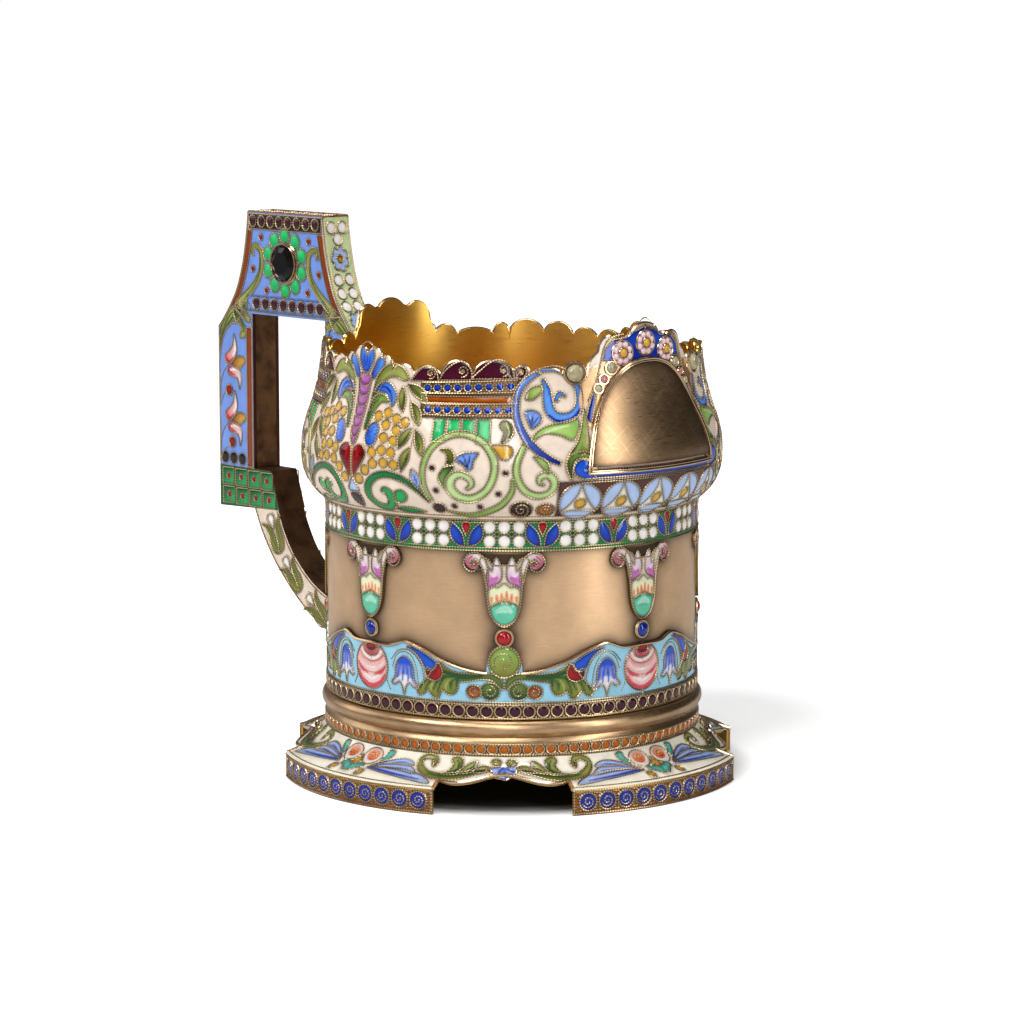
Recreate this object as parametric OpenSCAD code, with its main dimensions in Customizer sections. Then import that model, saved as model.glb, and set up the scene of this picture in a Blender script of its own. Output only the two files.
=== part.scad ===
// Podstakannik: an enamelled metal holder for a tea glass, with a box handle and four feet.
// Millimetres. The origin is on the cup's axis in the plane of the table, +Z is up,
// +X runs to the arched plaque on the front and -X to the handle.

/* [Cup] */
// Outside diameter of the straight sleeve
sleeve_d = 73; // [66:0.5:80]
// Thickness of the sleeve's wall
sleeve_wall = 1; // [0.8:0.1:1.4]
// Height of the seam between the sleeve and the collar
seam_z = 54.9; // [52:0.1:58]
// Thickness of the floor that the glass stands on
floor_t = 1; // [0.8:0.1:2]

/* [Collar] */
// How far the collar bulges past the sleeve
bulge = 5; // [4:0.1:6]
// Height of the collar from the seam to the top of its highest crest
collar_h = 36.5; // [34:0.1:38]
// Thickness of the collar's wall
collar_wall = 0.9; // [0.7:0.1:1.2]

/* [Bands] */
// Height of the band of white beads under the collar
bead_band_h = 5.6; // [4:0.1:6]
// Thickness of the enamelled bands on the sleeve
band_t = 0.4; // [0.3:0.05:0.6]
// Height of the garland's highest wave over the dark dots
garland_h = 11; // [9:0.1:12]
// Height of the band of dark dots
dot_band_h = 3; // [2.4:0.1:3.4]
// Width of the round moulding at the sleeve's foot
moulding_w = 3.6; // [3:0.1:4]
// Height of the band of orange dots
low_band_h = 2.4; // [2:0.1:2.8]
// Thickness of the band of orange dots
low_band_t = 0.7; // [0.5:0.05:0.9]

/* [Base] */
// How far the four feet's outer walls stand out from the sleeve
foot_reach = 9.6; // [8:0.1:12]
// Height of the feet
foot_h = 5; // [4:0.1:7]
// Angle that each foot spans
foot_angle = 56.4; // [45:0.1:62]
// Thickness of the feet's walls and of the base's sheet
base_wall = 0.9; // [0.7:0.1:1.1]
// Rise of the base's sheet from the feet to the band of orange dots
base_rise = 4.9; // [4:0.1:6]
// How far the base's edge lies in from the feet, halfway between two of them
arch_set = 5.7; // [4.6:0.1:6.6]
// Width of the shells between the feet
shell_w = 5.2; // [4:0.1:6]

/* [Handle] */
// Width of the handle's box across its flat faces
handle_t = 7; // [6:0.1:8]
// Thickness of the handle's sheet
handle_wall = 0.8; // [0.6:0.1:1]
// How far the outer post's edge stands out from the sleeve
handle_reach = 52.8; // [49:0.1:56]
// Height of the handle's top
handle_h = 107.5; // [104:0.1:112]
// Width of the handle's top
handle_top_w = 25; // [23:0.1:27]
// How far the top's outer corner lies in from the outer post
handle_top_set = 10.4; // [9:0.1:12]
// How far the shoulders lie below the handle's top
shoulder_drop = 25; // [23:0.1:27]
// Width of the outer post
post_w = 11.8; // [10:0.1:14]
// How far the window's upper edge lies below the handle's top
window_drop = 21.7; // [20:0.1:24]
// Width of the window
window_w = 24.2; // [22:0.1:25]
// Height of the window's lower edge
window_low_z = 52.5; // [50:0.1:54]
// Width of the chequered block under the post, along its lower edge
block_w = 20.3; // [18:0.1:21]
// How much narrower the block is along its upper edge
block_slant = 2.8; // [0:0.1:4]
// Height of the chequered block
block_h = 8.2; // [7:0.1:9]
// Width of the arm where it leaves the block
arm_w = 8.2; // [7:0.1:9]
// Height of the arm where it meets the sleeve
arm_root_h = 6.7; // [6:0.1:8]
// Radius of the black stone
stone_r = 4.2; // [3.5:0.1:4.8]

/* [Ornament] */
// Radius of the small stones under the columns
drop_r = 1.8; // [1.5:0.1:2]
// Radius of the roses on the garland
rose_r = 4.5; // [4:0.1:5]
// Radius of the spirals between the roses
spiral_r = 3; // [2.5:0.1:3.4]
// How far the arched plaque's crown lies below the rim's crown
plaque_drop = 7; // [6:0.1:9]
// Width of the arched plaque, along the curve
plaque_w = 32; // [28:0.1:34]
// Thickness of the plaque's sheet
plaque_t = 0.7; // [0.5:0.1:1]
// Width of the plaque's moulded frame
frame_w = 1; // [0.8:0.1:1.4]
// Height of the blue ribbon under the plaque
ribbon_h = 1.9; // [1.5:0.1:2.2]
// Radius of the clear stones beside the crest
clear_r = 1.9; // [1.5:0.1:2.2]
// Radius of the daisies on the crest
daisy_r = 2.2; // [1.8:0.1:2.4]

/* [Hidden] */

$fn = 96;
cut = 1; // overrun of a cut past the surface that it leaves
quarter_turn = 90;
curve_steps = 6;

sleeve_r = sleeve_d / 2;
bore_r = sleeve_r - sleeve_wall;
foot_top_z = foot_h;
foot_r = sleeve_r + foot_reach;
arch_r = foot_r - arch_set;
handle_r = sleeve_r + handle_reach;
shoulder_z = handle_h - shoulder_drop;
window_top_z = handle_h - window_drop;
saucer_top_z = foot_top_z + base_rise;
low_band_top_z = saucer_top_z + low_band_h;
moulding_gap = low_band_h * 0.38;
moulding_z = low_band_top_z + moulding_gap + moulding_w / 2;
dot_band_z = moulding_z + moulding_w / 2;
garland_z = dot_band_z + dot_band_h;
bead_band_z = seam_z - bead_band_h;
floor_z = saucer_top_z + floor_t; // the floor lies on the base and carries the sleeve
band_r = sleeve_r + band_t;
sleeve_seat = collar_wall;

// Outline helpers. A curve runs through its points, with rounded stretches between them.
function blend(a, b, c, d, t) = 0.5 * (2 * b + (c - a) * t + (2 * a - 5 * b + 4 * c - d) * t * t
    + (3 * b - a - 3 * c + d) * t * t * t);
function curve(p, n = curve_steps) = let (last = len(p) - 1) concat(
    [for (i = [0 : last - 1], k = [0 : n - 1])
        blend(p[max(i - 1, 0)], p[i], p[i + 1], p[min(i + 2, last)], k / n)],
    [p[last]]);
function reversed(p) = [for (i = [len(p) - 1 : -1 : 0]) p[i]];
function unit(v) = v / norm(v);
function left_of(v) = [-v[1], v[0]];
// A copy of an open line, moved sideways to its left by d.
function beside(p, d) = let (last = len(p) - 1) [for (i = [0 : last])
    let (before = unit(p[max(i, 1)] - p[max(i, 1) - 1]),
         after = unit(p[min(i, last - 1) + 1] - p[min(i, last - 1)]),
         along = unit(before + after))
    p[i] + left_of(along) * d / (along * after)];
// A strip of sheet metal along a line, to its left.
function strip(p, d) = concat(p, reversed(beside(p, d)));
function mirrored(p) = [for (q = p) [-q[0], q[1]]];

// Holds an outline, given in x and z, up against the cup at an angle round it.
module facing(angle, depth) {
    rotate([0, 0, angle + quarter_turn]) rotate([quarter_turn, 0, 0])
        linear_extrude(height = depth) children();
}

module ring(r_in, r_out, z, h) {
    translate([0, 0, z]) difference() {
        cylinder(r = r_out, h = h);
        translate([0, 0, -cut]) cylinder(r = r_in, h = h + 2 * cut);
    }
}

// The collar's outer wall: radius as a share of the bulge, height as a share of the collar.
collar_shares = [[0.11, 0], [0.3, 0.025], [0.62, 0.07], [0.86, 0.13], [0.97, 0.19], [1, 0.26],
    [0.96, 0.34], [0.78, 0.44], [0.5, 0.55], [0.32, 0.65], [0.2, 0.76], [0.13, 0.87], [0.1, 1]];
function collar_line(out = 0) = [for (s = curve(collar_shares, 3))
    [sleeve_r + bulge * s[0] + out, seam_z + collar_h * s[1]]];

// A skin over the collar's outer wall, from one height above it to another.
module collar_skin(low, high) {
    rotate_extrude() polygon(concat(collar_line(high), reversed(collar_line(low))));
}

module collar_solid() {
    rotate_extrude() polygon(concat(
        [[0, seam_z]], collar_line(), [[0, seam_z + collar_h]]));
}

// The rim's lobes: first angle, last angle, height at its ends and height at its top, both as
// shares of the collar's height. Each is half an ellipse, and the rim follows the highest.
lobe_shares = [[-20.5, 20.5, 0.76, 0.945], [-6.5, 6.5, 0.9, 1], [-16.5, -9, 0.88, 0.945],
    [9, 16.5, 0.88, 0.945], [21, 28, 0.75, 0.812], [28, 37.5, 0.75, 0.79], [37.5, 42, 0.75, 0.807],
    [42, 53.7, 0.75, 0.832], [53.7, 63.3, 0.74, 0.826], [63.3, 72, 0.735, 0.79],
    [72, 80, 0.735, 0.795], [80, 84.5, 0.77, 0.83], [83.5, 90.5, 0.77, 0.868],
    [89.5, 96.5, 0.77, 0.868], [95.5, 100, 0.77, 0.83], [100, 108.7, 0.735, 0.81],
    [108.7, 117.2, 0.745, 0.817], [117.2, 127, 0.76, 0.846], [127, 138, 0.775, 0.857],
    [138, 143.1, 0.77, 0.838], [143.1, 155.4, 0.765, 0.812], [155.4, 163, 0.765, 0.835],
    [163, 197, 0.78, 0.965], [174.5, 185.5, 0.93, 1], [165, 174.5, 0.88, 0.975]];
rim_low_share = 0.735;
function lobe_at(s, a) = a <= s[0] || a >= s[1] ? rim_low_share
    : let (t = (2 * a - s[0] - s[1]) / (s[1] - s[0])) s[2] + (s[3] - s[2]) * sqrt(1 - t * t);
// The rim is cut in sectors, and is level for a little on both sides of each seam between them.
rim_sector = 45;
rim_half = rim_sector / 2;
rim_flat = 1.5;
rim_overlap = 0.4;
rim_step = 1.4;
function to_seam(a) = let (seam = (floor(a / rim_sector) + 0.5) * rim_sector)
    abs(a - seam) < rim_flat ? seam : a;
function rim_share(a) = let (turn = abs(a > 180 ? a - 360 : a), b = to_seam(turn))
    max([for (s = lobe_shares) max(lobe_at(s, b), lobe_at(s, -b), lobe_at(s, 360 - b))]);
rim_r = collar_line()[len(collar_line()) - 1][0] + collar_wall;
module above_rim(angle) {
    top = seam_z + collar_h + cut;
    last = rim_half + rim_overlap;
    turns = concat([-last], [for (d = [-rim_half + rim_flat : rim_step : rim_half - rim_flat]) d],
        [rim_half - rim_flat, last]);
    facing(angle, rim_r + bulge) polygon(concat(
        [[-rim_r * sin(last), top]],
        [for (d = turns) [rim_r * sin(d), seam_z + collar_h * rim_share(angle + d)]],
        [[rim_r * sin(last), top]]));
}

module collar() {
    inner = [for (p = collar_line()) [max(p[0] - collar_wall, sleeve_r), p[1]]];
    color("navajowhite") difference() {
        rotate_extrude() polygon(concat(collar_line(), reversed(inner)));
        for (i = [0 : 360 / rim_sector - 1]) above_rim(i * rim_sector);
    }
}

module sleeve() {
    color("tan") ring(bore_r, sleeve_r, floor_z, seam_z + sleeve_seat - floor_z);
}

// The floor, with a fine groove between the glass's seat and the ring that carries the sleeve.
groove = floor_t * 0.3;
seat_r = bore_r - 2 * floor_t;
module glass_floor() {
    color("goldenrod") difference() {
        translate([0, 0, saucer_top_z]) cylinder(r = sleeve_r, h = floor_t);
        ring(seat_r, seat_r + groove, floor_z - groove, groove + cut);
    }
}

module bead_band() {
    color("seagreen") ring(sleeve_r, band_r, bead_band_z, bead_band_h);
}

module dot_band() {
    color("rosybrown") ring(sleeve_r, band_r, dot_band_z, dot_band_h);
}

module sleeve_moulding() {
    color("darkgoldenrod") rotate_extrude() intersection() {
        translate([sleeve_r - band_t, moulding_z]) circle(r = moulding_w / 2);
        translate([sleeve_r, dot_band_z - moulding_w]) square([moulding_w, moulding_w]);
    }
}

module low_dot_band() {
    color("chocolate") ring(sleeve_r, sleeve_r + low_band_t, saucer_top_z, low_band_h);
}

// The garland's upper edge over half a repeat: share of the half repeat, share of its height.
garland_shares = [[0, 0.9], [0.17, 0.9], [0.3, 1], [0.45, 0.89], [0.58, 0.73], [0.73, 0.6],
    [0.87, 0.54], [1, 0.54]];
garland_half = quarter_turn / 2;
module above_garland(angle, side) {
    reach = band_r + band_t;
    edge = curve(garland_shares, 4);
    middle = garland_half / 2;
    top = garland_z + garland_h + cut;
    points = [for (s = edge)
        [side * reach * sin(s[0] * garland_half - middle), garland_z + garland_h * s[1]]];
    facing(angle + side * middle, reach) polygon(concat(
        [[-side * reach * sin(middle), top]], points, [[side * reach * sin(middle), top]]));
}
module garland_band() {
    color("paleturquoise") difference() {
        ring(sleeve_r, band_r, garland_z, garland_h);
        for (i = [0 : 3], side = [-1, 1]) above_garland(i * quarter_turn, side);
    }
}

// The base: a sheet that falls from the low band to the feet, its edge arched between them.
saucer_shares = [[0.06, 0], [0.2, 0.3], [0.38, 0.55], [0.68, 0.8], [1, 1]];
saucer_in_r = bore_r - base_wall;
function saucer_line(drop) = [for (s = curve(saucer_shares))
    [sleeve_r + (foot_r - sleeve_r) * s[0], saucer_top_z - base_rise * s[1] - drop]];
arch_half = quarter_turn / 2 - foot_angle / 2;
arch_wave = 0.25;
arch_swell = (foot_r - arch_r) * arch_wave;
arch_peak_share = 0.745;
arch_step = 1.4;
function arch_edge(d) = arch_r + arch_swell - arch_swell * cos(180 * d / (arch_half * arch_peak_share));
function base_edge() = [for (i = [0 : 3]) each concat(
    [for (a = [-foot_angle / 2 : foot_angle / 16 : foot_angle / 2 + 0.01])
        let (b = a + i * quarter_turn) (foot_r - base_wall) * [cos(b), sin(b)]],
    [for (d = [-arch_half : arch_step : arch_half + 0.01])
        let (b = d + (i + 0.5) * quarter_turn) arch_edge(abs(d)) * [cos(b), sin(b)]])];
module base_saucer() {
    top = saucer_line(0);
    under = saucer_line(base_wall);
    color("ivory") intersection() {
        rotate_extrude() polygon(concat([[saucer_in_r, saucer_top_z]], top, reversed(under),
            [[saucer_in_r, saucer_top_z - base_wall]]));
        linear_extrude(height = saucer_top_z + cut) polygon(base_edge());
    }
}

module foot_wall(i) {
    color("peru") rotate([0, 0, (i - 1) * quarter_turn - foot_angle / 2])
        rotate_extrude(angle = foot_angle)
            translate([foot_r - base_wall, 0]) square([base_wall, foot_h]);
}

// A scallop shell that hangs over the base's edge between two feet.
shell_lobes = 7;
shell_t = base_wall * 0.6;
shell_lean = 42;
module base_shell(i) {
    lobe_r = shell_w * 0.14;
    fan_r = shell_w / 2 - lobe_r;
    color("cornflowerblue") difference() {
        rotate([0, 0, (i - 0.5) * quarter_turn]) translate([arch_r - shell_t, 0,
            saucer_top_z - base_rise * 0.52]) rotate([0, shell_lean, 0])
            linear_extrude(height = shell_t) union() {
                for (k = [0 : shell_lobes - 1])
                    rotate([0, 0, -quarter_turn + 180 * k / (shell_lobes - 1)])
                        translate([fan_r, 0]) circle(r = lobe_r);
                intersection() {
                    circle(r = fan_r);
                    translate([0, -fan_r]) square([fan_r, 2 * fan_r]);
                }
            }
        rotate_extrude() polygon(concat([[0, saucer_top_z]],
            [for (p = saucer_line(0)) if (p[0] < arch_r + shell_t) p], [[0, 0]]));
    }
}

// A lotus column: half its outline, as shares of its height, from its top to its tip.
column_shares = [[0, 0.93], [0.12, 0.99], [0.2, 0.95], [0.3, 0.985], [0.45, 1], [0.52, 0.92],
    [0.46, 0.8], [0.34, 0.84], [0.27, 0.72], [0.25, 0.5], [0.22, 0.25], [0.12, 0.06], [0, 0]];
// From the garland up: a spiral, a drop over it, and the column down to the drop.
spiral_z = garland_z + garland_h * 0.54 + spiral_r * 0.7;
drop_z = spiral_z + spiral_r + drop_r * 0.92;
column_low_z = drop_z + drop_r * 1.15;
column_h = bead_band_z - drop_r * 0.4 - column_low_z;
module lotus_column(i) {
    half = [for (s = curve(column_shares, 3)) [s[0] * column_h, column_low_z + s[1] * column_h]];
    color("plum") intersection() {
        ring(sleeve_r, band_r + band_t / 2, column_low_z, column_h);
        facing((i - 1) * garland_half, band_r + column_h) polygon(concat(half, reversed(mirrored(half))));
    }
}

// A round pad on a round wall.
module pad(wall_r, t, angle, z, r) {
    intersection() {
        ring(wall_r, wall_r + t, z - r - t, 2 * (r + t));
        rotate([0, 0, angle]) translate([0, 0, z]) rotate([0, quarter_turn, 0])
            cylinder(r = r, h = wall_r + 2 * t);
    }
}
drop_height = drop_r * 0.5;
module blue_drops() {
    color("royalblue") for (i = [0 : 3])
        pad(sleeve_r, drop_height, i * quarter_turn, drop_z, drop_r);
}
module red_drops() {
    color("firebrick") for (i = [0 : 3])
        pad(sleeve_r, drop_height, (i + 0.5) * quarter_turn, drop_z, drop_r);
}

rose_z = garland_z + garland_h * 0.5;
module garland_roses() {
    // The arm lands where a fourth rose would be.
    color("palevioletred") for (i = [-1 : 1]) intersection() {
        pad(band_r, band_t, i * quarter_turn, rose_z, rose_r);
        ring(band_r, band_r + band_t, garland_z, garland_h * 0.9);
    }
}
module garland_spirals() {
    color("olivedrab") for (i = [0 : 3]) intersection() {
        pad(sleeve_r, band_t * 1.5, (i + 0.5) * quarter_turn, spiral_z, spiral_r);
        union() {
            above_garland(i * quarter_turn, 1);
            above_garland((i + 1) * quarter_turn, -1);
        }
    }
}

// The front plaque lies on the collar, in a moulded frame, with a ribbon under it.
crown_z = seam_z + collar_h;
plaque_z = seam_z + bulge * 2.1;
plaque_h = crown_z - plaque_drop - plaque_z;
ribbon_z = plaque_z - frame_w - ribbon_h;
arch_shares = [[0.5, 0], [0.505, 0.18], [0.5, 0.36], [0.46, 0.58], [0.37, 0.78], [0.23, 0.93],
    [0.1, 0.99], [0, 1]];
function plaque_outline() = let (half = [for (s = curve(arch_shares, 3))
    [s[0] * plaque_w, plaque_z + s[1] * plaque_h]]) concat(half, reversed(mirrored(half)));
function frame_outline() = let (half = [for (s = curve(arch_shares, 3))
    [s[0] * (plaque_w + 2 * frame_w), plaque_z - frame_w + s[1] * (plaque_h + 2 * frame_w)]])
    concat(half, reversed(mirrored(half)));
module front_plaque() {
    color("darkgoldenrod") intersection() {
        collar_skin(0, plaque_t);
        facing(0, sleeve_r + 2 * bulge) polygon(plaque_outline());
    }
}
module plaque_frame() {
    color("gold") intersection() {
        collar_skin(0, plaque_t + frame_w / 4);
        facing(0, sleeve_r + 2 * bulge) difference() {
            polygon(frame_outline());
            polygon(plaque_outline());
        }
    }
}
module plaque_ribbon() {
    ribbon_w = plaque_w + 4 * frame_w;
    color("mediumblue") intersection() {
        collar_skin(0, plaque_t);
        facing(0, sleeve_r + 2 * bulge) translate([-ribbon_w / 2, ribbon_z])
            square([ribbon_w, ribbon_h]);
    }
}

// Clear stones in cups beside the crest, and daisies on it.
clear_angle = 24.5;
clear_z = seam_z + collar_h * 0.76;
cup_wall = clear_r * 0.2;
cup_t = clear_r * 0.5;
module collar_pad(angle, z, r, t) {
    intersection() {
        collar_skin(0, t);
        rotate([0, 0, angle]) translate([0, 0, z]) rotate([0, quarter_turn, 0])
            cylinder(r = r, h = sleeve_r + 2 * bulge);
    }
}
module stone_cups() {
    color("silver") for (side = [-1, 1]) difference() {
        collar_pad(side * clear_angle, clear_z, clear_r + cup_wall, cup_t);
        rotate([0, 0, side * clear_angle]) translate([0, 0, clear_z]) rotate([0, quarter_turn, 0])
            cylinder(r = clear_r, h = sleeve_r + 2 * bulge);
    }
}
module clear_stones() {
    color("lightcyan") for (side = [-1, 1])
        collar_pad(side * clear_angle, clear_z, clear_r, cup_t * 1.3);
}
daisy_places = [[0, 1.66], [-9.5, 1.99], [9.5, 1.99]];
module crest_daisies() {
    color("thistle") for (p = daisy_places)
        collar_pad(p[0], crown_z - daisy_r * p[1], daisy_r, band_t);
}

// The handle is a flat box of sheet metal. Its outlines hold the radius from the axis, which
// runs along -X, and the height.
handle_mid = handle_r - handle_top_set - handle_top_w / 2;
flare_shares = [[0, 1], [0.045, 0.85], [0.165, 0.6], [0.36, 0.365], [0.6, 0.2], [0.87, 0.055],
    [1, 0]];
flare_reach = handle_top_set;
flare_rise = handle_h - handle_wall - shoulder_z;
function flare(side) = [for (s = curve(flare_shares, 4))
    [handle_mid + side * (handle_top_w / 2 + flare_reach * s[0]), shoulder_z + flare_rise * s[1]]];
inner_post_z = seam_z + bulge;
window_out_r = handle_r - post_w;
window_in_r = window_out_r - window_w;
inner_foot_r = sleeve_r;
inner_foot_z = shoulder_z - flare_reach * 0.8;
module frame_side(y) {
    translate([0, y + handle_wall, 0]) rotate([quarter_turn, 0, 0]) linear_extrude(height = handle_wall)
        mirror([1, 0]) difference() {
            polygon(concat([[handle_r, window_low_z]], reversed(flare(1)), flare(-1),
                [[inner_foot_r, inner_foot_z], [inner_foot_r, inner_post_z], [window_in_r, inner_post_z],
                [window_in_r, window_low_z]]));
            translate([window_in_r, window_low_z - cut])
                square([window_w, window_top_z - window_low_z + cut]);
        }
}
module handle_front_plate() {
    color("cornflowerblue") difference() {
        frame_side(-handle_t / 2);
        collar_solid();
    }
}
module handle_back_plate() {
    color("cornflowerblue") difference() {
        frame_side(handle_t / 2 - handle_wall);
        collar_solid();
    }
}
// Fills the box between the two plates with an outline.
module between_plates() {
    gap = handle_t - 2 * handle_wall;
    translate([0, gap / 2, 0]) rotate([quarter_turn, 0, 0]) linear_extrude(height = gap)
        mirror([1, 0]) children();
}
module handle_top_cap() {
    color("orange") translate([-handle_mid - handle_top_w / 2, -handle_t / 2, handle_h - handle_wall])
        cube([handle_top_w, handle_t, handle_wall]);
}
module handle_outer_strip() {
    color("palegreen") between_plates() {
        translate([handle_r - handle_wall, window_low_z])
            square([handle_wall, shoulder_z - window_low_z]);
        polygon(strip(reversed(flare(1)), handle_wall));
    }
}
module handle_inner_strip() {
    color("palegreen") difference() {
        between_plates() polygon(strip(concat(flare(-1), [[inner_foot_r, inner_foot_z]]), handle_wall));
        collar_solid();
    }
}
module window_lining() {
    color("saddlebrown") difference() {
        between_plates() {
            polygon(reversed(strip([[window_out_r, window_low_z],
                [window_out_r, window_top_z + handle_wall]], -handle_wall)));
            translate([window_in_r, window_top_z]) square([window_w, handle_wall]);
            translate([window_in_r - handle_wall, inner_post_z])
                square([handle_wall, window_top_z + handle_wall - inner_post_z]);
            translate([sleeve_r, inner_post_z]) square([window_in_r - handle_wall - sleeve_r, handle_wall]);
        }
        collar_solid();
    }
}
block_in_r = handle_r - block_w;
block_low_z = window_low_z - block_h;
block_drop = handle_wall; // the outer end of its lower edge hangs lower
module block_solid() {
    translate([0, handle_t / 2, 0]) rotate([quarter_turn, 0, 0]) linear_extrude(height = handle_t)
        mirror([1, 0]) polygon([[block_in_r, block_low_z], [handle_r, block_low_z - block_drop],
            [handle_r, window_low_z], [block_in_r + block_slant, window_low_z]]);
}
module handle_block() {
    color("mediumseagreen") block_solid();
}

// The arm curves from the block down to the sleeve: shares of its reach and of its fall.
arm_out_shares = [[0, 0], [0.075, 0.22], [0.2, 0.46], [0.39, 0.71], [0.57, 0.86], [0.78, 0.96], [1, 1]];
arm_in_shares = [[0, 0], [0.05, 0.18], [0.15, 0.42], [0.32, 0.66], [0.48, 0.79], [0.73, 0.94], [1, 1]];
arm_in_r = block_in_r + band_t;
arm_out_r = arm_in_r + arm_w;
arm_root_z = dot_band_z;
arm_end_r = sleeve_r - sleeve_wall / 2;
function arm_out() = [for (s = curve(arm_out_shares, 4))
    [arm_out_r - (arm_out_r - arm_end_r) * s[0], block_low_z - (block_low_z - arm_root_z) * s[1]]];
function arm_in() = [for (s = curve(arm_in_shares, 4))
    [arm_in_r - (arm_in_r - arm_end_r) * s[0],
     block_low_z - (block_low_z - arm_root_z - arm_root_h) * s[1]]];
module arm_side(y) {
    difference() {
        translate([0, y + handle_wall, 0]) rotate([quarter_turn, 0, 0])
            linear_extrude(height = handle_wall) mirror([1, 0])
                polygon(concat(arm_out(), reversed(arm_in())));
        cylinder(r = band_r, h = block_low_z);
        block_solid();
    }
}
module arm_front_plate() {
    color("linen") arm_side(-handle_t / 2);
}
module arm_back_plate() {
    color("linen") arm_side(handle_t / 2 - handle_wall);
}
module arm_outer_strip() {
    color("sienna") difference() {
        between_plates() polygon(strip(arm_out(), -handle_wall));
        cylinder(r = band_r, h = handle_h);
        block_solid();
    }
}
module arm_inner_strip() {
    color("sienna") difference() {
        between_plates() polygon(strip(arm_in(), handle_wall));
        cylinder(r = band_r, h = handle_h);
        block_solid();
    }
}

// A faceted black stone in a bezel on each flat face of the handle.
stone_z = handle_h - handle_wall - stone_r * 2.3;
stone_h = stone_r * 0.35;
bezel_wall = stone_r * 0.12;
bezel_h = stone_r * 0.18;
module on_face(side) {
    translate([-handle_mid, side * handle_t / 2, stone_z]) rotate([-side * quarter_turn, 0, 0]) children();
}
module black_stone(side) {
    color("black") on_face(side) {
        cylinder(r = stone_r, h = bezel_h);
        translate([0, 0, bezel_h]) cylinder(r1 = stone_r, r2 = stone_r * 0.6, h = stone_h - bezel_h);
    }
}
module black_stone_front() { black_stone(-1); }
module black_stone_back() { black_stone(1); }
module stone_bezel(side) {
    color("gold") on_face(side) difference() {
        cylinder(r = stone_r + bezel_wall, h = bezel_h);
        translate([0, 0, -cut]) cylinder(r = stone_r, h = bezel_h + 2 * cut);
    }
}
module stone_bezel_front() { stone_bezel(-1); }
module stone_bezel_back() { stone_bezel(1); }

sleeve();
glass_floor();
collar();
bead_band();
garland_band();
dot_band();
sleeve_moulding();
low_dot_band();
base_saucer();
front_plaque();
plaque_frame();
plaque_ribbon();
clear_stones();
stone_cups();
crest_daisies();
garland_roses();
garland_spirals();
blue_drops();
red_drops();
handle_front_plate();
handle_back_plate();
handle_top_cap();
handle_outer_strip();
handle_inner_strip();
window_lining();
handle_block();
arm_front_plate();
arm_back_plate();
arm_outer_strip();
arm_inner_strip();
black_stone_front();
black_stone_back();
stone_bezel_front();
stone_bezel_back();
for (i = [1 : 4]) foot_wall(i);
for (i = [1 : 4]) base_shell(i);
for (i = [1 : 8]) lotus_column(i);
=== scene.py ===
"""The looks of an enamelled, gilt tea glass holder with a flat pierced handle.

The frame gives every size in metres; the drawing is in millimetres.  Each enamelled
face is a fine grid of points.  Cells of enamel are laid on it one over the other, as
a colour, a metal share and a height at each point, and beaded wires are real tubes
along the cells' edges.
"""

import logging
import math
from dataclasses import dataclass, field
from enum import Enum
from typing import Callable, Sequence

import bpy
import numpy as np
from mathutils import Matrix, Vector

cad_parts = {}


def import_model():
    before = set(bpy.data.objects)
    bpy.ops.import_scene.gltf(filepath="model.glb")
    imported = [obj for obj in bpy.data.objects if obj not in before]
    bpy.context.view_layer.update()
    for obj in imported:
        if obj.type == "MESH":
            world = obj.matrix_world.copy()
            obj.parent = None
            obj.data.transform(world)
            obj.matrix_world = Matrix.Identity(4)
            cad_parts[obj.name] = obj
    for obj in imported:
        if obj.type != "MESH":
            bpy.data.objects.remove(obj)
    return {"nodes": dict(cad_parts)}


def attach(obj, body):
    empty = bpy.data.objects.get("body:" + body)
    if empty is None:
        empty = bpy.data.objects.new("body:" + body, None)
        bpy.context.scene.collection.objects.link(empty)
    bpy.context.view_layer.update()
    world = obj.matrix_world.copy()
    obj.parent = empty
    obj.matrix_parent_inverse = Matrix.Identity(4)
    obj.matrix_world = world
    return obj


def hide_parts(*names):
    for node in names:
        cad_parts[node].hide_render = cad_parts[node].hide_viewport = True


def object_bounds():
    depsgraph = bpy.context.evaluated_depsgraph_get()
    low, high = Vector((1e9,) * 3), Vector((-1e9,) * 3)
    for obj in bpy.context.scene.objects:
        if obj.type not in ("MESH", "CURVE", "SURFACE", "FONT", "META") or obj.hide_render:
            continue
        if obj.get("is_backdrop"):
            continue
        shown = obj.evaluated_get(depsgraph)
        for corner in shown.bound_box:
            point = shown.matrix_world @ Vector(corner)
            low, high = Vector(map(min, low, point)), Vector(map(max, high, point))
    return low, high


Array = np.ndarray
Line = Sequence[Sequence[float]]
Back = Callable[[Array, Array], list[Array]]
Profile = tuple[tuple[float, float, float], ...]
LOG = logging.getLogger("tea_glass_holder")
MM = 0.001
QUARTERS = (0.0, 90.0, 180.0, 270.0)
FINE = 0.315
RUN_ON = 50.0
STONE_FACETS = 0.6


# Colours


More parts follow.
